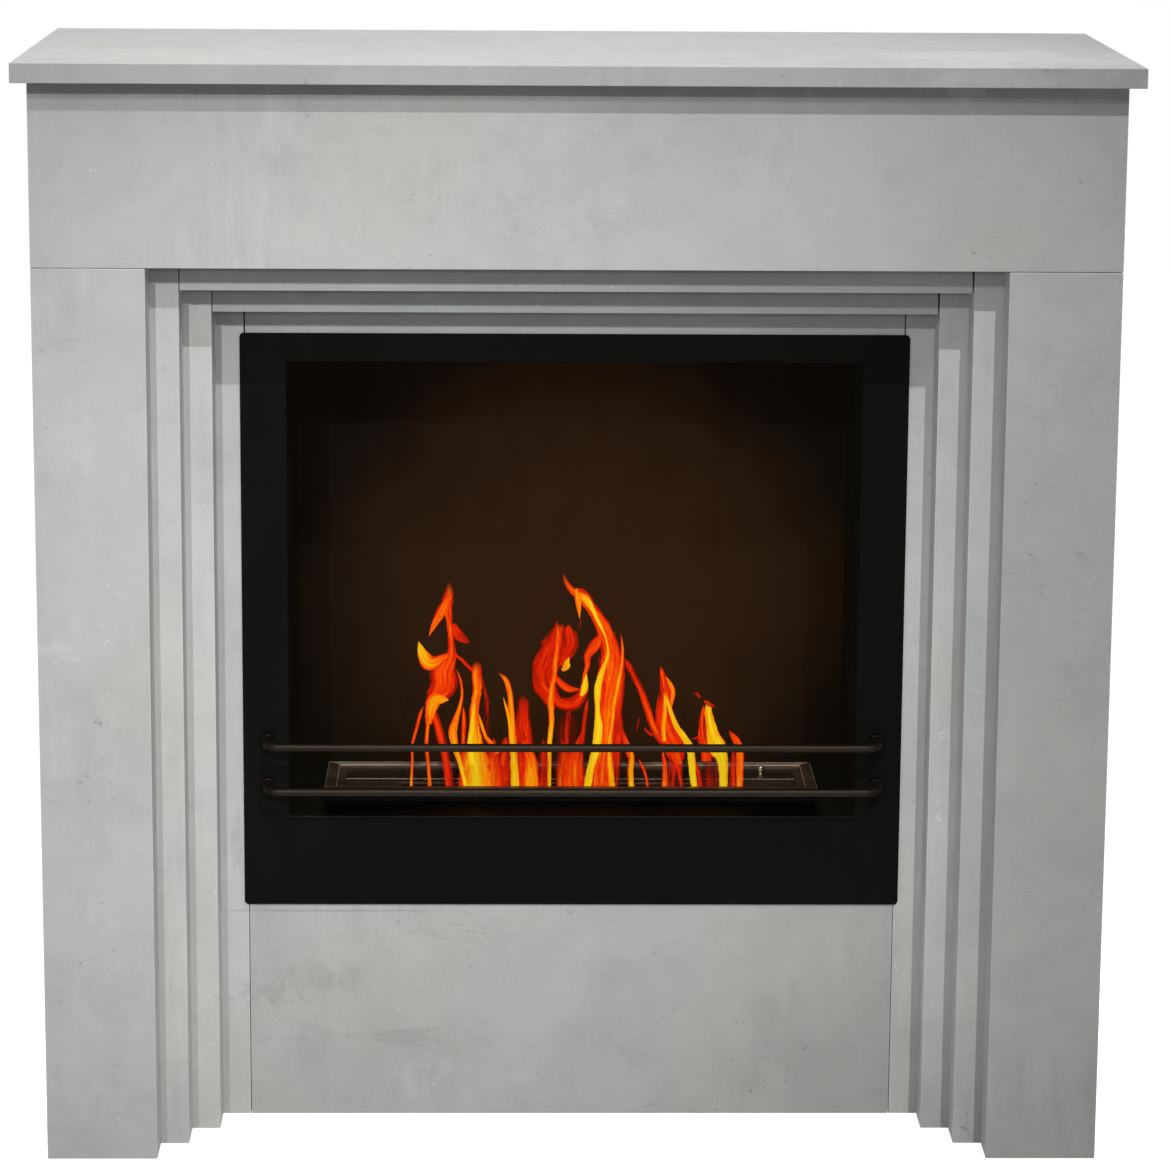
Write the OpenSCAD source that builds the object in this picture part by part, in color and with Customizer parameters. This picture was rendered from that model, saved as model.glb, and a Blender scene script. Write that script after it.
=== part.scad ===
// Free-standing bioethanol fireplace: a stepped board surround round a steel firebox with a lift-out burner.
// X is the width, -Y the front and +Z up. The origin is the middle of the footprint, on the floor.

/* [Surround] */
// Thickness of the facing boards and the side panels
board_t = 18; // [15:1:25]
// Thickness of the packing strips behind each step
packer_t = 24; // [15:1:30]
// Width of the packing strips, which is how far each step board is lapped behind the one in front
packer_w = 30; // [20:1:40]
// Width of each outer pilaster
pilaster_w = 104; // [80:1:150]
// Width that each upright step shows
side_reveal = 27; // [18:1:35]
// Height that each step shows under the frieze
header_reveal = 26; // [18:1:35]
// Height of the frieze board
frieze_h = 170; // [120:1:260]
// Depth of the surround under the mantel shelf
body_d = 372; // [352:1:460]
// Play in the butt joints between boards
joint_gap = 0.6; // [0.2:0.1:1.5]

/* [Mantel shelf] */
// Thickness of the mantel shelf
shelf_t = 18; // [16:1:38]
// Overhang of the mantel shelf at each side
shelf_over_side = 12; // [5:1:40]
// Overhang of the mantel shelf at the front
shelf_over_front = 28; // [5:1:40]

/* [Carcass] */
// Height of the rails at the top and at the back
rail_h = 70; // [50:1:90]
// Height of the cleats under the insert shelf
cleat_h = 36; // [25:1:60]
// Thickness of the back panel
back_t = 3; // [3:0.5:6]
// Set-back of the back panel from the side faces
back_inset = 2; // [1:0.5:6]
// Set-back of the cleats from the ends of what they carry
cleat_in = 20; // [10:1:40]
// Diameter of the dowels
dowel_d = 8; // [6:1:10]
// Length of the dowels
dowel_l = 34; // [26:1:40]
// Depth of a dowel hole in a side panel
dowel_side_l = 12; // [8:0.5:13]
// Distance of the insert shelf's dowels from its front and back edges
dowel_edge = 50; // [30:1:80]
// Distance of the rails' dowels from the rails' long edges
dowel_end = 14; // [10:1:20]

/* [Shelf brackets] */
// Leg of the angle brackets under the shelf
bracket_leg = 30; // [24:1:45]
// Width of the angle brackets
bracket_w = 22; // [16:1:40]
// Thickness of the angle brackets
bracket_t = 2; // [1.5:0.5:3]
// Place of the bracket screws from the bracket's corner
bracket_hole = 18; // [15:1:20]
// Distance of the front brackets from the surround's face
bracket_front = 90; // [60:1:120]
// Distance of the back brackets from the back panel
bracket_rear = 70; // [40:1:110]
// Diameter of the wood screws
screw_d = 4; // [3:0.5:4.5]
// Length of the wood screws below the head
screw_l = 13; // [9:0.5:14]
// Height of a screw head
screw_head_h = 2.2; // [1.5:0.1:3]

/* [Firebox] */
// Width of the insert's front flange
flange_w = 634; // [600:1:760]
// Height of the insert's front flange
flange_h = 560; // [530:1:640]
// Thickness of the front flange
flange_t = 2; // [1.5:0.5:4]
// Height of the flange's lower edge over the floor
flange_z = 214; // [120:1:280]
// Radius of the flange's outer corners
flange_r = 4; // [1:0.5:8]
// How far the flange covers the edge of the boards
flange_lap = 4; // [2:0.5:10]
// Width of the flange at each side of the opening
flange_side = 44; // [40:0.5:50]
// Height of the flange under the opening
flange_sill = 88.5; // [80:0.5:110]
// Height of the flange over the opening
flange_head = 27; // [22:0.5:60]
// Thickness of the firebox sheet
sheet_t = 1.5; // [1:0.25:2]
// Depth of the firebox behind the flange
casing_d = 190; // [170:1:220]
// Set-back of the firebox walls from the edge of the opening
casing_step = 2; // [1:0.5:4]
// Width of the folded lips on the sheets
lip_w = 8; // [6:0.5:9]
// Gap between the firebox and the edge of the recess over it
casing_top_gap = 10; // [6:1:13]
// Height of the angle tabs on the firebox walls
tab_w = 25; // [15:1:40]
// Depth of the tabs along the firebox walls
tab_l = 20; // [12:1:40]
// Thickness of the tabs
tab_t = 1.5; // [1:0.25:2]
// How far the tabs lap behind the third step
tab_lap = 18; // [12:1:24]
// Distance of the tabs from the top and bottom of the recess
tab_edge = 90; // [40:1:150]

/* [Safety rods] */
// Diameter of the rods
rod_d = 8; // [6:0.5:10]
// Distance of the rods' axis from the flange
rod_standoff = 28; // [22:1:50]
// Bend radius of the rods
rod_bend = 12; // [10:0.5:16]
// Length of the rods' tails behind the flange
rod_tail = 7; // [6:0.5:10]
// Height of the lower rod over the opening's edge
rod_low = 31.5; // [20:0.5:40]
// Distance between the two rods
rod_pitch = 44; // [30:0.5:60]
// Diameter of the collars
collar_d = 15; // [13:0.5:16]
// Length of the collars
collar_l = 5; // [3:0.5:8]
// Size of the nuts across corners
nut_d = 15; // [14:0.5:15]
// Height of the nuts
nut_h = 5; // [4:0.5:6]
// Clearance between the nuts and the lips of the firebox walls
nut_gap = 1.5; // [1:0.25:2.5]

/* [Burner] */
// Length of the burner's top plate
burner_w = 484; // [440:1:520]
// Depth of the burner's top plate
burner_d = 105; // [96:1:120]
// Height of the top plate's rim over the firebox floor
burner_rise = 12.5; // [11:0.5:20]
// Distance of the burner from the flange
burner_setback = 52; // [35:1:75]
// Width of the top plate's rim
rim_w = 12; // [9:0.5:15]
// Depth of the recess inside the rim
recess_h = 6; // [5:0.5:7]
// Thickness of the burner's sheet
burner_t = 2; // [1:0.25:2]
// Length of the flame slot
slot_w = 334; // [250:1:380]
// Width of the flame slot
slot_d = 30; // [20:0.5:32]
// Distance of the slot from the recess's front edge
slot_edge = 4; // [2:0.5:6]
// Height of the tank
tank_h = 56; // [40:1:70]
// Set-back of the tank inside the recess
tank_inset = 3; // [2:0.5:5]
// Distance of the wool's surface from the slotted plate
wool_drop = 9; // [6:0.5:15]

/* [Shutter] */
// Thickness of the shutter plate
shutter_t = 2; // [1:0.25:2]
// Play between the shutter and its seat
shutter_gap = 0.3; // [0.2:0.05:0.5]
// Play at the ends of the shutter
shutter_play = 1.5; // [0.5:0.25:2]
// Width of the guides over the shutter's ends
guide_w = 8; // [5:0.5:10]
// Thickness of the guides
guide_t = 1; // [0.8:0.1:1.5]
// Distance of the knob from the shutter's end
knob_in = 38.5; // [20:0.5:100]
// Diameter of the knob
knob_d = 7; // [5:0.5:10]
// Height of the knob
knob_h = 8; // [5:0.5:12]
// Diameter of the neck under the knob's head
neck_d = 4.2; // [3.8:0.1:5]
// Height of the neck
neck_h = 3.2; // [2:0.1:4]
// Diameter of the shank in the shutter
shank_d = 3.5; // [2.5:0.1:3.7]

/* [Fits] */
// Radial play of pins and shanks in their holes
fit_gap = 0.05; // [0.03:0.01:0.1]
// Play between the tank and the hole in the firebox floor
tank_gap = 2; // [1:0.5:3]
// Play between the wool and the tank
wool_gap = 0.5; // [0.3:0.1:1]

/* [Hidden] */
$fn = 48;
eps = 1;
left = -1;
right = 1;
sides = [left, right];

// The three steps between the pilasters and the insert
steps = 3;
rough_w = flange_w - 2 * flange_lap;
rough_low = flange_z + flange_lap;
rough_high = flange_z + flange_h - flange_lap;
flange_top = flange_z + flange_h;

// Half the clear width and the clear height inside the boards of layer n; layer 0 is the front
function inner_x(n) = rough_w / 2 + (steps - n) * side_reveal;
function under_z(n) = n == steps ? rough_high : flange_top + (steps - n) * header_reveal;

body_w = 2 * (inner_x(0) + pilaster_w);
shelf_w = body_w + 2 * shelf_over_side;
shelf_d = body_d + shelf_over_front;
side_h = under_z(0) + frieze_h;
total_h = side_h + shelf_t;
side_in = body_w / 2 - board_t;

// Depth: front and back of each layer of boards
face_y = -shelf_d / 2 + shelf_over_front;
rear_y = shelf_d / 2;
back_y = rear_y - back_t;
function layer_y(n) = face_y + n * (board_t + packer_t);
step_back_y = layer_y(steps) + board_t;

// Firebox
flange_y = layer_y(steps) - flange_t;
open_w = flange_w - 2 * flange_side;
open_low = flange_z + flange_sill;
open_high = flange_top - flange_head;
wall_in = open_w / 2 + casing_step;
casing_front = layer_y(steps);
casing_back = casing_front + casing_d;
ceiling_z = open_high + casing_step;
casing_high = rough_high - casing_top_gap;
tab_reach = inner_x(steps) + tab_lap - wall_in - sheet_t;
tab_screw_x = inner_x(steps) + tab_lap / 2;
tab_heights = [rough_low + tab_edge, rough_high - tab_edge];

// Carcass
shelf_top = rough_low;
shelf_low = shelf_top - board_t;
shelf_mid = shelf_top - board_t / 2;
rail_front_y = face_y + board_t + board_t / 2;
rail_back_y = back_y - board_t / 2;
dowel_spots = [
    [step_back_y + dowel_edge, shelf_mid],
    [back_y - dowel_edge, shelf_mid],
    [rail_front_y, side_h - rail_h + dowel_end],
    [rail_front_y, side_h - dowel_end],
    [rail_back_y, side_h - rail_h + dowel_end],
    [rail_back_y, side_h - dowel_end],
    [rail_back_y, dowel_end],
    [rail_back_y, rail_h - dowel_end]
];
bracket_spots = [face_y + bracket_front, back_y - bracket_rear];

// Safety rods
rod_y = flange_y - rod_standoff;
rod_low_z = open_low + rod_low;
rod_heights = [rod_low_z, rod_low_z + rod_pitch];
rod_half = wall_in + sheet_t + lip_w + nut_gap + nut_d / 2;

// Burner, on the firebox floor
floor_z = open_low;
plate_front = casing_front + burner_setback;
plate_back = plate_front + burner_d;
plate_top = floor_z + burner_rise;
recess_z = plate_top - recess_h;
recess_x = burner_w / 2 - rim_w;
recess_front = plate_front + rim_w;
recess_back = plate_back - rim_w;
recess_mid = (recess_front + recess_back) / 2;
tank_x = recess_x - tank_inset;
tank_front = recess_front + tank_inset;
tank_back = recess_back - tank_inset;
tank_top = recess_z - burner_t;
slot_front = recess_front + slot_edge;
shutter_x = recess_x - shutter_play;
shutter_z = recess_z + shutter_gap;
shutter_front = recess_mid + shutter_play / 2;
shutter_back = recess_back - shutter_play / 2;
shutter_mid = (shutter_front + shutter_back) / 2;
knob_x = shutter_x - knob_in;
guide_z = shutter_z + shutter_t + shutter_gap;
screw_r = screw_d / 2;

// A box between two opposite corners
module block(low, high) {
    translate(low) cube(high - low);
}

// A box from the middle outwards on one side: its mirror image serves the other side
module side_block(side, low, high) {
    mirror([side < 0 ? 1 : 0, 0, 0]) block(low, high);
}

// A rod along X, starting at a point
module rod_x(at, d, l) {
    translate(at) rotate([0, 90, 0]) cylinder(d = d, h = l);
}

// A rod along Y, starting at a point
module rod_y(at, d, l) {
    translate(at) rotate([-90, 0, 0]) cylinder(d = d, h = l);
}

// Holes or bodies of the dowels of one side, as long as asked
module dowel_set(side, play) {
    r = dowel_d / 2 + play;
    for (spot = dowel_spots)
        mirror([side < 0 ? 1 : 0, 0, 0])
            rod_x([side_in + dowel_side_l - dowel_l - 2 * play, spot[0], spot[1]], 2 * r, dowel_l + 4 * play);
}

// Surround
module mantel_shelf() {
    color([0.82, 0.83, 0.83])
    difference() {
        block([-shelf_w / 2, -shelf_d / 2, side_h], [shelf_w / 2, rear_y, total_h]);
        bracket_screw_set(fit_gap, true, false);
    }
}

module frieze_board() {
    color([0.73, 0.74, 0.73])
    block([-body_w / 2, face_y, under_z(0)], [body_w / 2, face_y + board_t, side_h]);
}

module pilaster(side) {
    color([0.72, 0.73, 0.72])
    side_block(side, [inner_x(0), face_y, 0], [body_w / 2, face_y + board_t, under_z(0)]);
}

// Upright board of step n, lapped behind the packer of the layer in front
module jamb(side, n) {
    color([0.74, 0.75, 0.74])
    difference() {
        side_block(side, [inner_x(n), layer_y(n), 0],
                   [inner_x(n - 1) + packer_w, layer_y(n) + board_t, under_z(n - 1) + packer_w]);
        if (n == steps)
            tab_screw_set(fit_gap);
    }
}

// Board under the frieze on step n, between the two upright boards
module header(n) {
    half = inner_x(n) - joint_gap;
    color([0.66, 0.67, 0.66])
    block([-half, layer_y(n), under_z(n)], [half, layer_y(n) + board_t, under_z(n - 1) + packer_w]);
}

module side_packer(side, n) {
    color([0.62, 0.63, 0.62])
    side_block(side, [inner_x(n), layer_y(n) + board_t, 0],
               [inner_x(n) + packer_w, layer_y(n + 1), under_z(n)]);
}

module header_packer(n) {
    half = inner_x(n) + packer_w;
    color([0.60, 0.61, 0.60])
    block([-half, layer_y(n) + board_t, under_z(n)], [half, layer_y(n + 1), under_z(n) + packer_w]);
}

// Panel under the insert, flush with the third step
module apron_panel() {
    half = inner_x(steps) - joint_gap;
    color([0.68, 0.69, 0.68])
    block([-half, layer_y(steps), 0], [half, step_back_y, rough_low]);
}

// Strip behind the joint between the apron and the third step
module apron_cleat(side) {
    color([0.80, 0.68, 0.50])
    side_block(side, [inner_x(steps) - board_t, step_back_y, cleat_in],
               [inner_x(steps) + board_t, step_back_y + board_t, shelf_low]);
}

// Carcass
module side_panel(side) {
    color([0.70, 0.71, 0.70])
    difference() {
        side_block(side, [side_in, face_y + board_t, 0], [body_w / 2, back_y, side_h]);
        dowel_set(side, fit_gap);
        bracket_screw_set(fit_gap, false, true);
    }
}

// A board between the two side panels, with its dowel holes
module cross_board(y0, y1, z0, z1) {
    difference() {
        block([-side_in, y0, z0], [side_in, y1, z1]);
        dowel_set(left, fit_gap);
        dowel_set(right, fit_gap);
    }
}

module insert_shelf() {
    color([0.78, 0.66, 0.48])
    cross_board(step_back_y, back_y, shelf_low, shelf_top);
}

module shelf_cleat(side) {
    color([0.80, 0.68, 0.50])
    side_block(side, [side_in - packer_t, step_back_y + cleat_in, shelf_low - cleat_h],
               [side_in, back_y - cleat_in, shelf_low]);
}

module top_rail_front() {
    color([0.78, 0.66, 0.48])
    cross_board(face_y + board_t, face_y + 2 * board_t, side_h - rail_h, side_h);
}

module top_rail_back() {
    color([0.78, 0.66, 0.48])
    cross_board(back_y - board_t, back_y, side_h - rail_h, side_h);
}

module bottom_rail_back() {
    color([0.78, 0.66, 0.48])
    cross_board(back_y - board_t, back_y, 0, rail_h);
}

module back_panel() {
    half = body_w / 2 - back_inset;
    color([0.55, 0.43, 0.30])
    block([-half, back_y, 0], [half, rear_y, side_h]);
}

module dowels() {
    color([0.85, 0.72, 0.50])
    for (side = sides)
        dowel_set(side, 0);
}

// Angle brackets under the shelf, on the inside of the side panels
module shelf_brackets() {
    color([0.75, 0.76, 0.78])
    difference() {
        for (side = sides, y = bracket_spots) {
            side_block(side, [side_in - bracket_leg, y - bracket_w / 2, side_h - bracket_t],
                       [side_in, y + bracket_w / 2, side_h]);
            side_block(side, [side_in - bracket_t, y - bracket_w / 2, side_h - bracket_leg],
                       [side_in, y + bracket_w / 2, side_h - bracket_t]);
        }
        bracket_screw_set(fit_gap, true, true);
    }
}

// Shanks of the bracket screws, up into the shelf and sideways into the side panels
module bracket_screw_set(play, in_shelf, in_side) {
    r = screw_r + play;
    for (side = sides, y = bracket_spots)
        mirror([side < 0 ? 1 : 0, 0, 0]) {
            if (in_shelf)
                translate([side_in - bracket_hole, y, side_h - bracket_t])
                    cylinder(r = r, h = screw_l + play);
            if (in_side)
                rod_x([side_in - bracket_t, y, side_h - bracket_hole], 2 * r, screw_l + play);
        }
}

module bracket_screws() {
    color([0.80, 0.78, 0.60]) {
        bracket_screw_set(0, true, true);
        for (side = sides, y = bracket_spots)
            mirror([side < 0 ? 1 : 0, 0, 0]) {
                translate([side_in - bracket_hole, y, side_h - bracket_t - screw_head_h])
                    cylinder(d = 2 * screw_d, h = screw_head_h);
                rod_x([side_in - bracket_t - screw_head_h, y, side_h - bracket_hole],
                      2 * screw_d, screw_head_h);
            }
    }
}

// Firebox
module insert_flange() {
    color([0.07, 0.07, 0.06])
    difference() {
        translate([0, flange_y + flange_t, 0]) rotate([90, 0, 0])
            linear_extrude(flange_t) flange_outline();
        block([-open_w / 2, flange_y - eps, open_low], [open_w / 2, casing_front + eps, open_high]);
        for (side = sides, z = rod_heights)
            rod_y([side * rod_half, flange_y - eps, z], rod_d + 2 * fit_gap, flange_t + 2 * eps);
    }
}

// The flange's rounded rectangle, in X and Z
module flange_outline() {
    w = flange_w / 2 - flange_r;
    translate([-flange_w / 2, flange_z + flange_r]) square([flange_w, flange_h - 2 * flange_r]);
    translate([-w, flange_z]) square([2 * w, flange_h]);
    for (x = [-w, w], z = [flange_z + flange_r, flange_top - flange_r])
        translate([x, z]) circle(r = flange_r);
}

// Side sheet with a lip folded outwards behind the flange
module firebox_wall(side) {
    color([0.06, 0.06, 0.06]) {
        side_block(side, [wall_in, casing_front, rough_low],
                   [wall_in + sheet_t, casing_back, casing_high]);
        side_block(side, [wall_in + sheet_t, casing_front, rough_low],
                   [wall_in + sheet_t + lip_w, casing_front + sheet_t, casing_high]);
    }
}

module firebox_back() {
    color([0.06, 0.05, 0.05])
    block([-wall_in - sheet_t, casing_back, rough_low],
          [wall_in + sheet_t, casing_back + sheet_t, casing_high]);
}

// Ceiling sheet with its side lips folded up along the walls
module firebox_ceiling() {
    color([0.06, 0.06, 0.06]) {
        block([-wall_in, casing_front, ceiling_z], [wall_in, casing_back, ceiling_z + sheet_t]);
        for (side = sides)
            side_block(side, [wall_in - sheet_t, casing_front, ceiling_z + sheet_t],
                       [wall_in, casing_back, ceiling_z + lip_w]);
    }
}

// Floor sheet with its side lips folded down and the hole for the tank
module firebox_floor() {
    color([0.05, 0.05, 0.05])
    difference() {
        union() {
            block([-wall_in, casing_front, floor_z - sheet_t], [wall_in, casing_back, floor_z]);
            for (side = sides)
                side_block(side, [wall_in - sheet_t, casing_front, floor_z - lip_w],
                           [wall_in, casing_back, floor_z - sheet_t]);
        }
        block([-tank_x - tank_gap, tank_front - tank_gap, floor_z - lip_w - eps],
              [tank_x + tank_gap, tank_back + tank_gap, floor_z + eps]);
    }
}

module casing_base() {
    color([0.08, 0.08, 0.08])
    block([-wall_in, casing_front, rough_low], [wall_in, casing_back, rough_low + sheet_t]);
}

// Angle tabs on the firebox walls that hold the insert against the back of the third step
module casing_tabs() {
    color([0.10, 0.10, 0.10])
    difference() {
        for (side = sides, z = tab_heights) {
            side_block(side, [wall_in + sheet_t, step_back_y, z - tab_w / 2],
                       [wall_in + sheet_t + tab_t, step_back_y + tab_l, z + tab_w / 2]);
            side_block(side, [wall_in + sheet_t, step_back_y, z - tab_w / 2],
                       [wall_in + sheet_t + tab_reach, step_back_y + tab_t, z + tab_w / 2]);
        }
        tab_screw_set(fit_gap);
    }
}

// Shanks of the screws that go through the tabs into the third step
module tab_screw_set(play) {
    for (side = sides, z = tab_heights)
        rod_y([side * tab_screw_x, step_back_y + tab_t - screw_l - play, z],
              screw_d + 2 * play, screw_l + play);
}

module tab_screws() {
    color([0.80, 0.78, 0.60]) {
        tab_screw_set(0);
        for (side = sides, z = tab_heights)
            rod_y([side * tab_screw_x, step_back_y + tab_t, z], 2 * screw_d, screw_head_h);
    }
}

// Safety rod: a straight bar with a bend at each end, and tails that pass through the flange
module safety_rod(z) {
    straight = rod_half - rod_bend;
    tail = rod_standoff - rod_bend + flange_t + rod_tail;
    color([0.24, 0.19, 0.17])
    for (side = sides)
        mirror([side < 0 ? 1 : 0, 0, 0]) {
            rod_x([0, rod_y, z], rod_d, straight);
            translate([straight, rod_y + rod_bend, z]) rotate([0, 0, -90])
                rotate_extrude(angle = 90) translate([rod_bend, 0]) circle(d = rod_d);
            rod_y([rod_half, rod_y + rod_bend, z], rod_d, tail);
        }
}

module rod_collars() {
    color([0.16, 0.14, 0.13])
    for (side = sides, z = rod_heights)
        difference() {
            rod_y([side * rod_half, flange_y - collar_l, z], collar_d, collar_l);
            rod_y([side * rod_half, flange_y - collar_l - eps, z], rod_d + 2 * fit_gap, collar_l + 2 * eps);
        }
}

module rod_nuts() {
    color([0.75, 0.76, 0.78])
    for (side = sides, z = rod_heights)
        difference() {
            translate([side * rod_half, casing_front, z]) rotate([-90, 0, 0])
                cylinder(d = nut_d, h = nut_h, $fn = 6);
            rod_y([side * rod_half, casing_front - eps, z], rod_d + 2 * fit_gap, nut_h + 2 * eps);
        }
}

// Burner
module burner_tank() {
    low = tank_top - tank_h;
    color([0.30, 0.30, 0.31])
    difference() {
        block([-tank_x, tank_front, low], [tank_x, tank_back, tank_top]);
        block([-tank_x + burner_t, tank_front + burner_t, low + burner_t],
              [tank_x - burner_t, tank_back - burner_t, tank_top + eps]);
    }
}

// Fuel-holding wool inside the tank
module ceramic_wool() {
    inset = burner_t + wool_gap;
    color([0.88, 0.87, 0.83])
    block([-tank_x + inset, tank_front + inset, tank_top - tank_h + inset],
          [tank_x - inset, tank_back - inset, recess_z - wool_drop]);
}

// Top plate: a folded skirt and rim round a recessed, slotted plate
module burner_top_plate() {
    color([0.17, 0.14, 0.12])
    difference() {
        block([-burner_w / 2, plate_front, floor_z], [burner_w / 2, plate_back, plate_top]);
        block([-burner_w / 2 + burner_t, plate_front + burner_t, floor_z - eps],
              [burner_w / 2 - burner_t, plate_back - burner_t, recess_z - burner_t]);
        block([-recess_x, recess_front, recess_z], [recess_x, recess_back, plate_top + eps]);
        rim_hollow();
        block([-slot_w / 2, slot_front, recess_z - burner_t - eps],
              [slot_w / 2, slot_front + slot_d, recess_z + eps]);
    }
}

// Space under the rim, between the skirt and the wall of the recess
module rim_hollow() {
    low = recess_z - burner_t - eps;
    high = plate_top - burner_t;
    difference() {
        block([-burner_w / 2 + burner_t, plate_front + burner_t, low],
              [burner_w / 2 - burner_t, plate_back - burner_t, high]);
        block([-recess_x - burner_t, recess_front - burner_t, low - eps],
              [recess_x + burner_t, recess_back + burner_t, high + eps]);
    }
}

// Strips over the shutter's ends
module shutter_guides() {
    color([0.20, 0.17, 0.15])
    for (side = sides)
        side_block(side, [recess_x - guide_w, recess_front, guide_z], [recess_x, recess_back, guide_z + guide_t]);
}

// Sliding plate that closes the flame slot, parked on the rear half of the recess
module shutter() {
    color([0.19, 0.16, 0.14])
    difference() {
        block([-shutter_x, shutter_front, shutter_z], [shutter_x, shutter_back, shutter_z + shutter_t]);
        knob_shank(fit_gap);
    }
}

// Shank of the knob in the shutter
module knob_shank(play) {
    translate([knob_x, shutter_mid, shutter_z - play])
        cylinder(d = shank_d + 2 * play, h = shutter_t + 2 * play);
}

module shutter_knob() {
    color([0.80, 0.74, 0.55]) {
        knob_shank(0);
        translate([knob_x, shutter_mid, shutter_z + shutter_t]) {
            cylinder(d = neck_d, h = neck_h);
            translate([0, 0, neck_h]) cylinder(d = knob_d, h = knob_h - neck_h);
        }
    }
}

mantel_shelf();
frieze_board();
pilaster(left);  // pilaster_left
pilaster(right);  // pilaster_right
jamb(left, 1);  // step1_jamb_left
jamb(right, 1);  // step1_jamb_right
header(1);  // step1_header
jamb(left, 2);  // step2_jamb_left
jamb(right, 2);  // step2_jamb_right
header(2);  // step2_header
jamb(left, 3);  // step3_jamb_left
jamb(right, 3);  // step3_jamb_right
header(3);  // step3_header
side_packer(left, 0);  // pilaster_packer_left
side_packer(right, 0);  // pilaster_packer_right
header_packer(0);  // frieze_packer
side_packer(left, 1);  // step1_packer_left
side_packer(right, 1);  // step1_packer_right
header_packer(1);  // step1_header_packer
side_packer(left, 2);  // step2_packer_left
side_packer(right, 2);  // step2_packer_right
header_packer(2);  // step2_header_packer
apron_panel();
apron_cleat(left);  // apron_cleat_left
apron_cleat(right);  // apron_cleat_right
side_panel(left);  // side_panel_left
side_panel(right);  // side_panel_right
insert_shelf();
shelf_cleat(left);  // shelf_cleat_left
shelf_cleat(right);  // shelf_cleat_right
top_rail_front();
top_rail_back();
bottom_rail_back();
back_panel();
dowels();
shelf_brackets();
bracket_screws();
insert_flange();
firebox_wall(left);  // firebox_wall_left
firebox_wall(right);  // firebox_wall_right
firebox_back();
firebox_ceiling();
firebox_floor();
casing_base();
casing_tabs();
tab_screws();
safety_rod(rod_heights[1]);  // safety_rod_upper
safety_rod(rod_heights[0]);  // safety_rod_lower
rod_collars();
rod_nuts();
burner_tank();
ceramic_wool();
burner_top_plate();
shutter_guides();
shutter();
shutter_knob();
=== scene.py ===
import bpy
import bmesh
import math
from mathutils import Matrix, Vector, noise


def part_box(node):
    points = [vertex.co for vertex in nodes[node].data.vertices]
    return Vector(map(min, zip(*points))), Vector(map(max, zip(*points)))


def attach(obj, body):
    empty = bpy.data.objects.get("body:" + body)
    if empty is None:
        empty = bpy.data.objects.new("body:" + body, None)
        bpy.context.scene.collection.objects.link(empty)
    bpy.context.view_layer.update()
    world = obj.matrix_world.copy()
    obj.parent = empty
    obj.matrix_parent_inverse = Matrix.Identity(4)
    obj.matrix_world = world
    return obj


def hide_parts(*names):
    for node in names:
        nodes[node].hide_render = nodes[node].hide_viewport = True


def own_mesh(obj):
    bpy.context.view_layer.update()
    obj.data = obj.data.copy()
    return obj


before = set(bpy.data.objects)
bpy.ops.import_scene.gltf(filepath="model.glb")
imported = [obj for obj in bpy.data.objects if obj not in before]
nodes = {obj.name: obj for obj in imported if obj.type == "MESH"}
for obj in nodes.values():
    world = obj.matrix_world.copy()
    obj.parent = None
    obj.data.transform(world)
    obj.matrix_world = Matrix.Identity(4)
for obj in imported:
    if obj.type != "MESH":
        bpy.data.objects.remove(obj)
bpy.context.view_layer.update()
mm = 0.001
print("frame loaded:", len(nodes), "nodes")


def addObject(name, data):
    made = bpy.data.objects.new(name, data)
    bpy.context.scene.collection.objects.link(made)
    return made


def aimed(place, way):
    # a matrix that stands at place with its z axis along way
    return Matrix.Translation(place) @ Vector(way).to_track_quat("Z", "Y").to_matrix().to_4x4()


# Camera and light
cameraSettings = {
    "place": (-0.0692, -3.800, 1.353),
    "pitch": 0.1951,
    "yaw": -0.02116,
    "roll": 0.0070,
    "focal": 4017,  # in pixels of the photograph
    "imageWidth": 1170,
    "sensor": 36,
    "shiftY": -0.07,
    "far": 50,
}


def makeCamera(s):
    data = bpy.data.cameras.new("camera")
    data.sensor_width = s["sensor"]
    data.lens = s["focal"] / s["imageWidth"] * s["sensor"]
    data.shift_y = s["shiftY"]
    data.clip_end = s["far"]
    camera = addObject("camera", data)
    turn = Matrix.Rotation(s["yaw"], 4, "Z") @ Matrix.Rotation(math.pi / 2 - s["pitch"], 4, "X")
    camera.matrix_world = Matrix.Translation(s["place"]) @ turn @ Matrix.Rotation(s["roll"], 4, "Z")
    bpy.context.scene.camera = camera


# Lamps: each one's place, where it aims, how wide its pool of light is there, and the share of
# the light that it gives a surface turned the way of facing
lampSettings = {
    "radius": 0.02,
    "lamps": [
        ("lampLow", (-0.30, -4.17, 2.64), (-0.21, -0.17, 0.49), 0.62, 0.193, (0, -1, 0)),
        ("lampLeft", (-0.96, -4.17, 2.76), (-0.31, -0.17, 0.73), 0.95, 0.294, (0, -1, 0)),
        ("lampRight", (1.08, -4.17, 4.92), (-0.03, -0.17, 0.39), 1.04, 0.271, (0, -1, 0)),
        ("lampTop", (-0.95, 1.20, 4.60), (-0.32, 0.00, 1.04), 1.50, 0.459, (0, 0, 1)),
    ],
    "ambient": 0.36,
}


def makeLamps(s):
    for name, place, aim, spread, share, facing in s["lamps"]:
        back = Vector(place) - Vector(aim)
        data = bpy.data.lights.new(name, "SPOT")
        data.energy = share * 4 * math.pi ** 2 * back.length ** 2 / back.normalized().dot(Vector(facing))
        data.shadow_soft_size = s["radius"]
        data.spot_size = 2 * math.atan(spread / back.length)
        data.spot_blend = 1.0
        lamp = addObject(name, data)
        lamp.matrix_world = aimed(place, back)
        lamp.visible_camera = False


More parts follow.
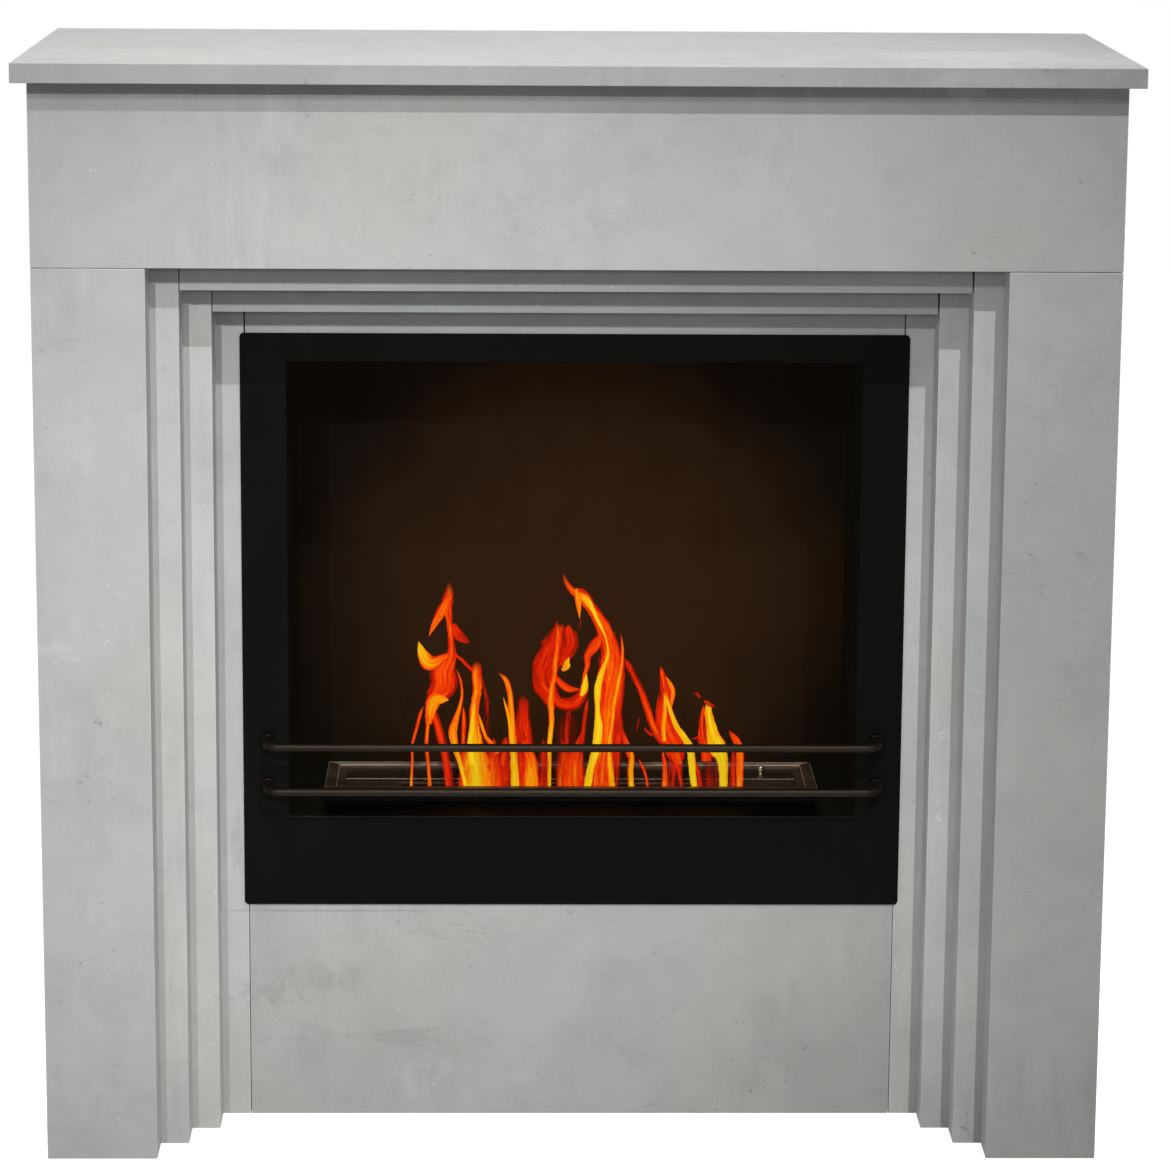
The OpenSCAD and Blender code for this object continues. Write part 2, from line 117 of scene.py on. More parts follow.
# Small helpers for node trees. A Value is a socket to reckon with: + - * and abs() make math nodes
class Value:
    def __init__(self, socket):
        self.socket = socket

    def __add__(self, other):
        return calc("ADD", self, other)

    def __sub__(self, other):
        return calc("SUBTRACT", self, other)

    def __rsub__(self, other):
        return calc("SUBTRACT", other, self)

    def __mul__(self, other):
        return calc("MULTIPLY", self, other)

    def __abs__(self):
        return calc("ABSOLUTE", self)


def treeOf(*values):
    return next(v for v in values if isinstance(v, Value)).socket.id_data


def feed(socket, value):
    # value: another socket, a number, a vector or a colour
    if isinstance(value, Value):
        socket.id_data.links.new(value.socket, socket)
    elif socket.type == "RGBA":
        socket.default_value = (*value, 1.0)
    else:
        socket.default_value = value


def addNode(tree, kind, settings=None, inputs=None):
    made = tree.nodes.new(kind)
    for key, value in (settings or {}).items():
        setattr(made, key, value)
    for key, value in (inputs or {}).items():
        feed(made.inputs[key], value)
    return {socket.name: Value(socket) for socket in made.outputs}


def calc(operation, *values):
    made = treeOf(*values).nodes.new("ShaderNodeMath")
    made.operation = operation
    for socket, value in zip(made.inputs, values):
        feed(socket, value)
    return Value(made.outputs[0])


def smoothBetween(value, low, high):
    # 0 at low and 1 at high, whichever of the two is the larger
    return addNode(treeOf(value), "ShaderNodeMapRange", {"interpolation_type": "SMOOTHSTEP"},
                   {"Value": value, "From Min": low, "From Max": high})["Result"]


def noiseValue(vector, scale, detail=4.0, roughness=0.55, distortion=0.0):
    # scale: one number, or one for each axis
    if isinstance(scale, tuple):
        vector, scale = stretched(vector, scale), 1.0
    return addNode(treeOf(vector), "ShaderNodeTexNoise", None,
                   {"Vector": vector, "Scale": scale, "Detail": detail,
                    "Roughness": roughness, "Distortion": distortion})["Fac"]


def stretched(vector, scale, turn=(0, 0, 0)):
    return addNode(treeOf(vector), "ShaderNodeMapping", None,
                   {"Vector": vector, "Scale": scale, "Rotation": turn})["Vector"]


def split(vector):
    return list(addNode(treeOf(vector), "ShaderNodeSeparateXYZ", None, {"Vector": vector}).values())


def mixColour(factor, a, b, blend="MIX"):
    made = treeOf(factor, a, b).nodes.new("ShaderNodeMix")
    made.data_type = "RGBA"
    made.blend_type = blend
    for place, value in ((0, factor), (6, a), (7, b)):
        feed(made.inputs[place], value)
    return Value(made.outputs[2])


def scaled(colour, by):
    return tuple(min(1.0, c * by) for c in colour)


def newGroup(name, results):
    group = bpy.data.node_groups.new(name, "ShaderNodeTree")
    group.interface.new_socket("Vector", in_out="INPUT", socket_type="NodeSocketVector")
    for label in results:
        group.interface.new_socket(label, in_out="OUTPUT", socket_type="NodeSocketFloat")
    start = group.nodes.new("NodeGroupInput")
    end = group.nodes.new("NodeGroupOutput")
    return group, Value(start.outputs["Vector"]), end.inputs


def useGroup(group, vector):
    return addNode(treeOf(vector), "ShaderNodeGroup", {"node_tree": group}, {"Vector": vector})


def objectPlace(tree):
    return addNode(tree, "ShaderNodeTexCoord")["Object"]


def attribute(tree, name):
    return addNode(tree, "ShaderNodeAttribute", {"attribute_name": name})["Vector"]


def newMaterial(name, settings):
    made = bpy.data.materials.new(name)
    made.use_nodes = True
    skin = made.node_tree.nodes["Principled BSDF"].inputs
    for key, value in settings.items():
        feed(skin[key], value)
    return made, made.node_tree, skin


def bumped(skin, height, strength, distance):
    feed(skin["Normal"], addNode(treeOf(height), "ShaderNodeBump", None,
                                 {"Height": height, "Strength": strength, "Distance": distance})["Normal"])


# Cloudy concrete decor: soft clouds, trowel strokes, pale flecks and a few dark pits
def makeDecorGroup():
    group, place, out = newGroup("concreteDecor", ("Shade", "Warmth", "Height"))
    clouds = noiseValue(place, 2.8, 5.0, 0.55, 0.5)
    patches = noiseValue(place, 9.0, 8.0, 0.64, 0.9)
    blots = smoothBetween(noiseValue(place, 17.0, 9.0, 0.72, 0.7), 0.47, 0.62)
    grain = noiseValue(place, 70.0, 6.0, 0.75)
    strokes = noiseValue(place, (60, 60, 7), 6.0, 0.65, 0.3)
    stroke = (strokes - 0.5) * smoothBetween(noiseValue(place, 4.5, 4.0, 0.6, 0.4), 0.48, 0.62)
    shade = clouds * 0.22 + patches * 0.24 - blots * 0.045 + grain * 0.09 + stroke * 0.42 + 0.74
    # clusters of pale scratches and of dark pits
    chips = noiseValue(place, (150, 150, 110), 3.0, 0.62, 1.4)
    cluster = smoothBetween(noiseValue(place, 6.5, 3.0, 0.6, 0.6), 0.545, 0.62)
    chip = smoothBetween(chips, 0.645, 0.70) * cluster
    pits = noiseValue(stretched(place, (170, 170, 150), (0.4, 0.2, 0.7)), 1.0, 2.0, 0.5, 0.8)
    rare = smoothBetween(noiseValue(place, 5.3, 2.0, 0.5, 0.9), 0.555, 0.63)
    pit = smoothBetween(pits, 0.69, 0.73) * rare
    # hairline cracks, mostly level, and a few curled hooks
    seams = abs(noiseValue(place, (9, 9, 34), 4.0, 0.55, 0.8) - 0.5)
    seam = smoothBetween(seams, 0.009, 0.001) * smoothBetween(noiseValue(place, 8.5, 3.0, 0.6, 0.2), 0.585, 0.63)
    curls = abs(noiseValue(place, 42.0, 2.0, 0.5, 2.5) - 0.5)
    curl = smoothBetween(curls, 0.014, 0.0) * smoothBetween(noiseValue(place, 11.0, 2.0, 0.5, 0.2), 0.62, 0.67)
    feed(out["Shade"], shade + chip * 0.20 - pit * 0.24 - seam * 0.10 + curl * 0.13)
    feed(out["Warmth"], noiseValue(place, 3.7, 3.0, 0.5, 0.3))
    feed(out["Height"], grain * 0.5 + strokes * 0.35 - pit * 0.6)
    return group


# Painted firelight round the flames: 1 behind the middle of the fire, 0 far from it; and a soot pattern
fireSettings = {"x": 5 * mm, "z": 470 * mm, "wide": 284 * mm, "high": 270 * mm}


def makeFireGlowGroup(s):
    group, place, out = newGroup("paintedFireGlow", ("FireGlow", "Soot"))
    x, _, z = split(place)
    across, up = (x - s["x"]) * (1 / s["wide"]), (z - s["z"]) * (1 / s["high"])
    waver = (noiseValue(place, 9.0, 4.0, 0.55, 0.4) - 0.5) * 0.5
    # how strong the painted firelight is
    feed(out["FireGlow"], smoothBetween(across * across + up * up + waver, 1.15, 0.0))
    feed(out["Soot"], noiseValue(place, (30, 30, 9), 6.0, 0.6, 0.5))
    return group


# Fine unevenness that the metals share: a grain along one direction and faint wipe marks
def makeBrushGroup():
    group, place, out = newGroup("brushedGrain", ("Grain", "Wipe"))
    feed(out["Grain"], noiseValue(place, (12, 900, 900), 3.0, 0.6))
    feed(out["Wipe"], noiseValue(place, 28.0, 4.0, 0.6, 0.6))
    return group


decorGroup = makeDecorGroup()
fireGlowGroup = makeFireGlowGroup(fireSettings)
brushGroup = makeBrushGroup()

# Single marks on the front, a few of them painted light and shade: centre across and up, half sizes, how pale (+)
# or dark (-), streaks
marksAndPaintedLight = [
    (-0.482, 0.494, 0.030, 0.016, 0.12, (40, 40, 90)), (-0.245, 0.138, 0.060, 0.024, -0.090, (80, 80, 26)),
    (-0.294, 0.122, 0.042, 0.020, -0.110, (50, 50, 50)), (-0.216, 0.134, 0.028, 0.020, -0.055, (110, 110, 30)),
    (-0.167, 0.079, 0.064, 0.011, -0.100, (12, 12, 60)), (-0.265, 0.079, 0.062, 0.009, -0.060, (20, 20, 60)),
    (-0.124, 0.049, 0.022, 0.012, 0.09, (160, 160, 140)), (-0.157, 0.036, 0.024, 0.028, 0.06, (150, 150, 40)),
    # the first dab on the next line is a painted shadow line under the flange
    (-0.215, 0.2070, 0.140, 0.0016, -0.20, (3, 3, 3)), (0.442, 0.800, 0.060, 0.080, -0.035, (20, 20, 12)),
    (-0.322, 0.263, 0.008, 0.050, -0.11, (60, 60, 18)), (-0.465, 0.680, 0.035, 0.065, 0.045, (120, 120, 90)),
    (-0.346, 0.650, 0.018, 0.055, -0.05, (14, 14, 120)), (0.164, 0.926, 0.045, 0.050, 0.035, (90, 90, 60)),
    (-0.288, 0.950, 0.050, 0.022, -0.045, (80, 80, 60)), (0.225, 0.070, 0.090, 0.030, -0.03, (60, 60, 90)),
    # the last dab on the next line is a painted pool of light on the left pilaster
    (0.000, 0.937, 0.110, 0.075, -0.045, (24, 24, 24)), (-0.445, 0.560, 0.070, 0.210, 0.030, (18, 18, 9)),
    # the first dab on the next line is painted light on the right of the shelf front
    (0.440, 1.031, 0.200, 0.024, 0.16, (10, 10, 10)), (0.000, 0.034, 0.230, 0.040, 0.040, (12, 12, 12))]
# Painted shade under each overhang: its low and high edge, how far it reaches to each side, how dark
overhangShade = [(1.0038, 1.022, 0.510, -0.28), (0.8420, 0.852, 0.394, -0.45),
                (0.8158, 0.826, 0.367, -0.38), (0.7892, 0.800, 0.340, -0.32)]
decorSettings = {
    "dabPlane": -0.11,  # the dabs are deepest here, and reach as far before and behind it
    "dabDeep": 0.12,
    "ragged": 3.2,
    "shadeFade": 0.0045,
    "shadeEnd": 0.0002,
    "face": (0.472, 0.481, 0.481),
    "faceWarm": (0.486, 0.483, 0.468),
    # the edge band's colour, painted paler than the face as a highlight
    "band": (0.560, 0.572, 0.566),
}


def makeDecor(name, cool, warm, s):
    made, tree, skin = newMaterial(name, {"Roughness": 0.58, "Specular IOR Level": 0.22})
    own, place = attribute(tree, "decorPlace"), objectPlace(tree)
    decor = useGroup(decorGroup, own)
    sideways, _, up = split(place)
    warmth = decor["Warmth"] + 0.10 - smoothBetween(up, 0.05, 0.60) * 0.14
    # darker towards the floor, up to a wavering edge
    footWaver = noiseValue(own, (9, 9, 6), 7.0, 0.65, 1.2)
    level = decor["Shade"] - smoothBetween(up - footWaver * 0.16, 0.09, -0.08) * 0.10
    for x, z, wide, high, amount, streaks in marksAndPaintedLight:
        spot = addNode(tree, "ShaderNodeMapping", {"vector_type": "TEXTURE"}, {
            "Vector": place, "Location": (x, s["dabPlane"], z), "Scale": (wide, s["dabDeep"], high)})["Vector"]
        away = addNode(tree, "ShaderNodeVectorMath", {"operation": "LENGTH"}, {"Vector": spot})["Value"]
        away += (0.5 - noiseValue(own, streaks, 6.0, 0.7, 0.6)) * s["ragged"]
        level += smoothBetween(away, 1.0, 0.55) * amount
    # painted shade in strips under the shelf and under each step header
    for low, high, reach, amount in overhangShade:
        band = smoothBetween(up, low, low + s["shadeFade"]) - smoothBetween(up, high, high + s["shadeEnd"])
        level += band * calc("LESS_THAN", abs(sideways), reach) * amount
    # each board's tone, with its painted light and shade
    level *= split(attribute(tree, "toneAndPaintedLight"))[0]
    shade = addNode(tree, "ShaderNodeCombineXYZ", None, {"X": level, "Y": level, "Z": level})["Vector"]
    tint = mixColour(smoothBetween(warmth, 0.38, 0.62), cool, warm)
    feed(skin["Base Color"], mixColour(1.0, tint, shade, "MULTIPLY"))
    bumped(skin, decor["Height"], 0.12, 0.0006)
    return made


def makeSheet(name, colour, glow, glareGlow, clear=0.0):
    # soot-black sheet; glow is painted firelight, an emission strongest behind the flames, and the
    # other colour a faint painted glare further off, from the distance clear to each side
    made, tree, skin = newMaterial(name, {"Specular IOR Level": 0.03, "Emission Strength": 1.0})
    place = objectPlace(tree)
    tint = useGroup(fireGlowGroup, place)
    soot = smoothBetween(tint["Soot"], 0.35, 0.7)
    feed(skin["Base Color"], mixColour(soot, scaled(colour, 1.6), colour))
    glareAside = mixColour(smoothBetween(abs(split(place)[0]), clear - 0.01, clear), (0, 0, 0), glareGlow)
    # emission: painted firelight behind the flames and painted glare off to the sides
    feed(skin["Emission Color"], mixColour(tint["FireGlow"], glareAside, glow))
    feed(skin["Roughness"], soot * 0.12 + 0.55)
    bumped(skin, tint["Soot"], 0.05, 0.0004)
    return made


def makePowderCoat(name, colour):
    made, tree, skin = newMaterial(name, {"Specular IOR Level": 0.04})
    place = objectPlace(tree)
    wipes = noiseValue(place, (6, 6, 3), 5.0, 0.6, 0.8)
    feed(skin["Base Color"], mixColour(smoothBetween(wipes, 0.4, 0.75), colour, scaled(colour, 1.9)))
    feed(skin["Roughness"], wipes * 0.15 + 0.50)
    bumped(skin, noiseValue(place, 900.0, 2.0, 0.5), 0.15, 0.0003)
    return made


def makeMetal(name, colour, roughness, metallic=1.0, spread=0.35):
    made, tree, skin = newMaterial(name, {"Metallic": metallic})
    brushed = useGroup(brushGroup, objectPlace(tree))
    tone = smoothBetween(brushed["Grain"] * 0.5 + brushed["Wipe"] * 0.5, 0.35, 0.65)
    feed(skin["Base Color"], mixColour(tone, scaled(colour, 1 - spread), scaled(colour, 1 + spread)))
    feed(skin["Roughness"], brushed["Wipe"] * 0.16 + (roughness - 0.08))
    bumped(skin, brushed["Grain"], 0.06, 0.0002)
    return made


def makeWood(name, pale, dark, chips):
    made, tree, skin = newMaterial(name, {"Roughness": 0.72, "Specular IOR Level": 0.2})
    place = objectPlace(tree)
    fibre = noiseValue(place, chips, 6.0, 0.65, 0.5)
    tone = fibre * 0.8 + noiseValue(place, 14.0, 3.0) * 0.2
    feed(skin["Base Color"], mixColour(smoothBetween(tone, 0.34, 0.68), dark, pale))
    bumped(skin, fibre, 0.3, 0.0005)
    return made


def makeWool(name, dark, pale):
    made, tree, skin = newMaterial(name, {"Roughness": 0.95, "Specular IOR Level": 0.05})
    fibre = noiseValue(objectPlace(tree), (160, 420, 420), 6.0, 0.7, 1.2)
    feed(skin["Base Color"], mixColour(smoothBetween(fibre, 0.3, 0.7), dark, pale))
    bumped(skin, fibre, 0.6, 0.0012)
    return made


# Flames: dark red edges through orange to a yellow core, in streaks that run along each tongue
flameColours = [(0.0, (0.10, 0.006, 0.002)), (0.12, (0.40, 0.010, 0.002)), (0.28, (0.78, 0.018, 0.002)),
                (0.45, (0.92, 0.085, 0.002)), (0.60, (0.94, 0.22, 0.003)), (0.78, (0.88, 0.44, 0.004)),
                (1.0, (0.92, 0.66, 0.014))]


def rampColour(factor, stops):
    made = treeOf(factor).nodes.new("ShaderNodeValToRGB")
    feed(made.inputs["Fac"], factor)
    elements = made.color_ramp.elements
    elements[0].color = (*stops[0][1], 1.0)
    elements[1].color = (*stops[-1][1], 1.0)
    for where, colour in stops[1:-1]:
        elements.new(where).color = (*colour, 1.0)
    return Value(made.outputs["Color"])


def makeFlame(name):
    made, tree, skin = newMaterial(name, {"Base Color": (0.0, 0.0, 0.0), "Specular IOR Level": 0.0,
                                          "Roughness": 1.0, "Emission Strength": 1.0})
    across, rise, heat = split(attribute(tree, "flameForm"))
    path = attribute(tree, "flamePlace")
    streak = noiseValue(path, 1.0, 3.0, 0.55, 0.35) - 0.5
    fine = noiseValue(path, (2.4, 2.2, 1), 4.0, 0.6, 1.2) - 0.5
    ragged = noiseValue(path, (1.3, 5.5, 1), 3.0, 0.6, 0.8) - 0.5
    edge = abs(across)
    level = heat + streak * 0.80 + fine * 0.65 - edge * edge * 0.34
    feed(skin["Emission Color"], rampColour(level, flameColours))
    rim = smoothBetween(edge + ragged * 0.75, 1.0, 0.72) * smoothBetween(edge, 1.0, 0.90)
    tip = smoothBetween(rise, 1.0, 0.88)
    body = smoothBetween(level, -0.12, 0.22) * 0.62 + 0.32
    foot = smoothBetween(split(objectPlace(tree))[2], 0.335, 0.365) * 0.34 + 0.66
    feed(skin["Alpha"], rim * tip * body * foot)
    return made


# Colours, then for a sheet its painted firelight, its painted glare and where the glare starts; for a metal how
# rough, how metallic and how uneven; for a wood its pale and dark colour and the size of its grain
laminate = makeDecor("laminate", decorSettings["face"], decorSettings["faceWarm"], decorSettings)
edgeBandHighlight = makeDecor("edgeBandHighlight", decorSettings["band"], decorSettings["band"], decorSettings)
flangeCoat = makePowderCoat("flangeCoat", (0.0030, 0.0030, 0.0025))
sillHighlight = makePowderCoat("sillHighlight", (0.030, 0.030, 0.027))
skirtNearBlack = makePowderCoat("skirtNearBlack", (0.0022, 0.0020, 0.0018))
# painted firelight and painted glare on the back, the walls and the floor of the box
backSheet = makeSheet("backSheet", (0.0022, 0.0018, 0.0012), (0.0242, 0.0087, 0.0020), (0.0024, 0.0015, 0.0007))
fireboxSheet = makeSheet("fireboxSheet", (0.0030, 0.0026, 0.0020), (0.0060, 0.0020, 0.0006),
                         (0.0022, 0.0018, 0.0012))
# the floor sheet's sides carry a faint painted glare
floorSheet = makeSheet("floorSheet", (0.0006, 0.0008, 0.0007), (0.0, 0.0003, 0.0003),
                       (0.0030, 0.0028, 0.0020), 0.245)
rodBronze = makeMetal("rodBronze", (0.0210, 0.0148, 0.0100), 0.52, 0.90, 0.15)
collarBronze = makeMetal("collarBronze", (0.009, 0.007, 0.006), 0.42, 1.0, 0.15)
plateMetal = makeMetal("plateMetal", (0.115, 0.078, 0.051), 0.50, 0.85)
shutterMetal = makeMetal("shutterMetal", (0.052, 0.037, 0.024), 0.50, 0.85)
backRimHighlight = makeMetal("backRimHighlight", (0.25, 0.205, 0.155), 0.60, 0.30, 0.12)
foldHighlight = makeMetal("foldHighlight", (0.23, 0.185, 0.14), 0.55, 0.35, 0.12)
shutterEdgeHighlight = makeMetal("shutterEdgeHighlight", (0.17, 0.135, 0.10), 0.55, 0.35, 0.12)
tankSteel = makeMetal("tankSteel", (0.30, 0.29, 0.28), 0.45)
zincSteel = makeMetal("zincSteel", (0.55, 0.56, 0.57), 0.35)
yellowZinc = makeMetal("yellowZinc", (0.62, 0.53, 0.28), 0.35)
knobBrass = makeMetal("knobBrass", (0.92, 0.84, 0.58), 0.34)
chipboard = makeWood("chipboard", (0.50, 0.38, 0.24), (0.30, 0.21, 0.12), (110, 110, 110))
beech = makeWood("beech", (0.62, 0.46, 0.29), (0.48, 0.33, 0.19), (12, 200, 200))
hardboard = makeWood("hardboard", (0.23, 0.13, 0.07), (0.14, 0.075, 0.04), (260, 260, 260))
wool = makeWool("wool", (0.42, 0.34, 0.25), (0.74, 0.70, 0.62))
flameGlow = makeFlame("flameGlow")
print("materials ready:", len(bpy.data.materials))


# Mesh helpers
def boxMesh(low, high):
    bm = bmesh.new()
    bmesh.ops.create_cube(bm, size=1.0)
    bmesh.ops.scale(bm, vec=high - low, verts=bm.verts)
    bmesh.ops.translate(bm, vec=(low + high) / 2, verts=bm.verts)
    return bm


def roundEdges(bm, edges, width, segments=2, material=-1):
    bmesh.ops.bevel(bm, geom=edges, offset=width, offset_type="OFFSET", segments=segments,
                    profile=0.5, affect="EDGES", material=material)


def weld(bm):
    bmesh.ops.remove_doubles(bm, verts=bm.verts, dist=0.001 * mm)
    bmesh.ops.recalc_face_normals(bm, faces=bm.faces)


def capHoles(bm, sides=0):
    bmesh.ops.holes_fill(bm, edges=[e for e in bm.edges if e.is_boundary], sides=sides)


def vectorLayers(bm, names):
    for name in names:
        bm.verts.layers.float_vector.new(name)
    return [bm.verts.layers.float_vector[name] for name in names]


def turned(bm, profile, centre, axis, steps):
    # profile: (radius, height) pairs along the axis
    place = aimed(centre, axis)
    verts = [bm.verts.new(place @ Vector((radius, 0, height))) for radius, height in profile]
    edges = [bm.edges.new(pair) for pair in zip(verts, verts[1:])]
    bmesh.ops.spin(bm, geom=verts + edges, cent=centre, axis=axis, angle=2 * math.pi, steps=steps, use_merge=True)


def sweep(bm, route, radius, sides):
    # a round bar along route, which gives each ring's place and way
    previous = None
    for at, way in route:
        ring = bmesh.ops.create_circle(bm, cap_ends=False, radius=radius, segments=sides, matrix=aimed(at, way))
        edges = list({e for v in ring["verts"] for e in v.link_edges if all(w in ring["verts"] for w in e.verts)})
        if previous:
            bmesh.ops.bridge_loops(bm, edges=previous + edges)
        previous = edges


# Finishing a piece: its mesh, its materials, its body and what it stands for
def finishPiece(name, bm, materials, body, replaced=(), smooth=False):
    mesh = bpy.data.meshes.new(name)
    bm.to_mesh(mesh)
    bm.free()
    piece = addObject(name, mesh)
    for material in materials:
        mesh.materials.append(material)
    for face in mesh.polygons:
        face.use_smooth = smooth
    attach(piece, body)
    if replaced:
        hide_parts(*replaced)
    return piece


# Facing boards: a box with fine rounded arrises; the rims carry the edge band, painted paler than the face as a
# highlight along the arrises
boardSettings = {
    "arris": 0.7 * mm,
    "flat": 0.99,
    "touch": 0.01 * mm,
    "printShift": (3.71, 1.37, 2.19),  # each board shows another part of the print
    # the step jambs are painted lighter against the shade in the recesses; the step1 header painted lighter and
    # the step2 and step3 headers darker, to suit the light on them
    "tonesAndPaintedLight": {"apron_panel": 0.90, "step1_jamb_left": 1.08, "step2_jamb_left": 1.11, "step3_jamb_left": 1.04,
              "step1_jamb_right": 1.15, "step2_jamb_right": 1.20, "step3_jamb_right": 1.18, "step1_header": 1.04,
              "step2_header": 0.92, "step3_header": 0.96},
    # the shelf's rims are painted darker, as the shade on its front
    "rimPaintedShade": {"mantel_shelf": 0.76},
    # open joints: (board, axis, at its high end, width)
    "joints": [("step1_header", 0, True, 1.3 * mm), ("step2_header", 0, True, 1.1 * mm),
               ("step3_header", 0, True, 0.5 * mm), ("step1_header", 0, False, 0.3 * mm),
               ("step2_header", 0, False, 0.3 * mm), ("step3_header", 0, False, 0.7 * mm),
               ("pilaster_left", 2, True, 0.5 * mm), ("pilaster_right", 2, True, 0.6 * mm)],
}
boardNames = ["mantel_shelf", "frieze_board", "pilaster_left", "pilaster_right",
              "side_panel_left", "side_panel_right", "apron_panel"]
boardNames += [f"step{n}_{part}" for n in (1, 2, 3) for part in ("jamb_left", "jamb_right", "header")]
boardNames += ["pilaster_packer_left", "pilaster_packer_right", "frieze_packer"]
boardNames += [f"step{n}_{part}" for n in (1, 2) for part in ("packer_left", "packer_right", "header_packer")]


def makeBoard(node, index, s):
    low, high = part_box(node)
    for board, axis, atHigh, width in s["joints"]:
        if board == node and atHigh:
            high[axis] -= width
        elif board == node:
            low[axis] += width
    thin = min(range(3), key=lambda axis: high[axis] - low[axis])
    bm = boxMesh(low, high)
    roundEdges(bm, bm.edges[:], s["arris"])
    for face in bm.faces:
        # the rims get the edge band, painted paler as a highlight
        face.material_index = 0 if abs(face.normal[thin]) > s["flat"] else 1
    shift = Vector(s["printShift"]) * index
    printed, toned = vectorLayers(bm, ("decorPlace", "toneAndPaintedLight"))
    # each board's tone, with its painted light and shade
    tone, rimShade = s["tonesAndPaintedLight"].get(node, 1.0), s["rimPaintedShade"].get(node, 1.0)
    for vert in bm.verts:
        onFace = min(vert.co[thin] - low[thin], high[thin] - vert.co[thin]) < s["touch"]
        vert[printed] = vert.co + shift
        vert[toned] = Vector((tone if onFace else tone * rimShade, 0, 0))
    return finishPiece("board_" + node, bm, [laminate, edgeBandHighlight], "surround", [node])


for index, node in enumerate(boardNames):
    makeBoard(node, index, boardSettings)
print("boards made:", len(boardNames))

# Back panel: thin hardboard held by small domed pins
backSettings = {"arris": 0.4 * mm, "proud": 0.3 * mm, "head": 2.6 * mm, "inset": 9 * mm,
                "spacing": 130 * mm, "steps": 16}


def makeBackPanel(s):
    low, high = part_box("back_panel")
    high.y -= s["proud"]
    bm = boxMesh(low, high)
    roundEdges(bm, bm.edges[:], s["arris"])
    finishPiece("back_board", bm, [hardboard], "surround", ["back_panel"])
    wide, tall = high.x - low.x - 2 * s["inset"], high.z - low.z - 2 * s["inset"]
    columns, rows = round(wide / s["spacing"]), round(tall / s["spacing"])
    places = {(column, row) for column in range(columns + 1) for row in range(rows + 1)
              if column in (0, columns) or row in (0, rows)}
    r, p = s["head"], s["proud"]
    domed = [(0, -p), (r, -p), (r, p * 0.2), (r * 0.7, p * 0.75), (0, p)]
    pins = bmesh.new()
    for column, row in sorted(places):
        x = low.x + s["inset"] + wide * column / columns
        z = low.z + s["inset"] + tall * row / rows
        turned(pins, domed, (x, high.y, z), (0, 1, 0), s["steps"])
    weld(pins)
    return finishPiece("back_pins", pins, [zincSteel], "surround")


# Insert flange: a flat plate with rounded corners and the opening cut out; the sill's front arris is painted pale
# as a highlight
flangeSettings = {"corner": 4 * mm, "cornerSteps": 6, "arris": 0.35 * mm, "side": 44 * mm, "sill": 88.5 * mm,
                  "head": 27 * mm}


def makeFlange(s):
    low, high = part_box("insert_flange")
    middleY = (low.y + high.y) / 2
    left, right, sill, head = low.x + s["side"], high.x - s["side"], low.z + s["sill"], high.z - s["head"]
    bm = boxMesh(low, high)
    roundEdges(bm, [e for e in bm.edges if abs(e.verts[0].co.y - e.verts[1].co.y) > 0.5 * (high.y - low.y)],
               s["corner"], s["cornerSteps"])
    for at, normal in (((left, 0, 0), (1, 0, 0)), ((right, 0, 0), (1, 0, 0)),
                       ((0, 0, sill), (0, 0, 1)), ((0, 0, head), (0, 0, 1))):
        bmesh.ops.bisect_plane(bm, geom=bm.verts[:] + bm.edges[:] + bm.faces[:], plane_co=at, plane_no=normal)

    def inside(face):
        at = face.calc_center_median()
        return left < at.x < right and sill < at.z < head

    middle = [f for f in bm.faces if abs(f.normal.y) > 0.9 and inside(f)]
    rims = [e for f in middle for e in f.edges]
    bmesh.ops.delete(bm, geom=middle, context="FACES_ONLY")
    bmesh.ops.bridge_loops(bm, edges=list({e for e in rims if e.is_valid}))
    bmesh.ops.recalc_face_normals(bm, faces=bm.faces)
    front = [e for e in bm.edges if e.is_manifold and e.calc_face_angle(0) > 1.0
             and all(v.co.y < middleY for v in e.verts)]
    roundEdges(bm, front, s["arris"], material=1)
    # the sill's front arris is painted pale as a highlight line
    for face in bm.faces:
        onSill = abs(face.calc_center_median().z - sill) < s["arris"]
        face.material_index = 1 if face.material_index == 1 and onSill else 0
    return finishPiece("flange_plate", bm, [flangeCoat, sillHighlight], "surround", ["insert_flange"])


makeFlange(flangeSettings)

# Safety rods: a round bar drawn along its bent route
rodSettings = {"radius": 4 * mm, "bend": 12 * mm, "sides": 20, "bendSteps": 8}


def makeRod(node, s):
    low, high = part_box(node)
    z = (low.z + high.z) / 2
    front = low.y + s["radius"]
    reach = high.x - s["radius"]
    route = [(Vector((reach, high.y, z)), Vector((0, -1, 0)))]
    for step in range(s["bendSteps"] + 1):
        turn = math.pi / 2 * step / s["bendSteps"]
        inward, outward = s["bend"] * (1 - math.cos(turn)), s["bend"] * (1 - math.sin(turn))
        way = Vector((-math.sin(turn), -math.cos(turn), 0))
        route.append((Vector((reach - inward, front + outward, z)), way))
    mirrored = [(Vector((-at.x, at.y, at.z)), Vector((way.x, -way.y, 0))) for at, way in reversed(route)]
    bm = bmesh.new()
    sweep(bm, route + mirrored, s["radius"], s["sides"])
    capHoles(bm)
    bmesh.ops.recalc_face_normals(bm, faces=bm.faces)
    return finishPiece("bar_" + node, bm, [rodBronze], "surround", [node], smooth=True)


for node in ("safety_rod_upper", "safety_rod_lower"):
    makeRod(node, rodSettings)

# Collars where the rods meet the flange: a turned ring with a rounded lip
collarSettings = {"radius": 7.5 * mm, "bore": 4.05 * mm, "length": 5 * mm, "lip": 1.2 * mm, "steps": 40}


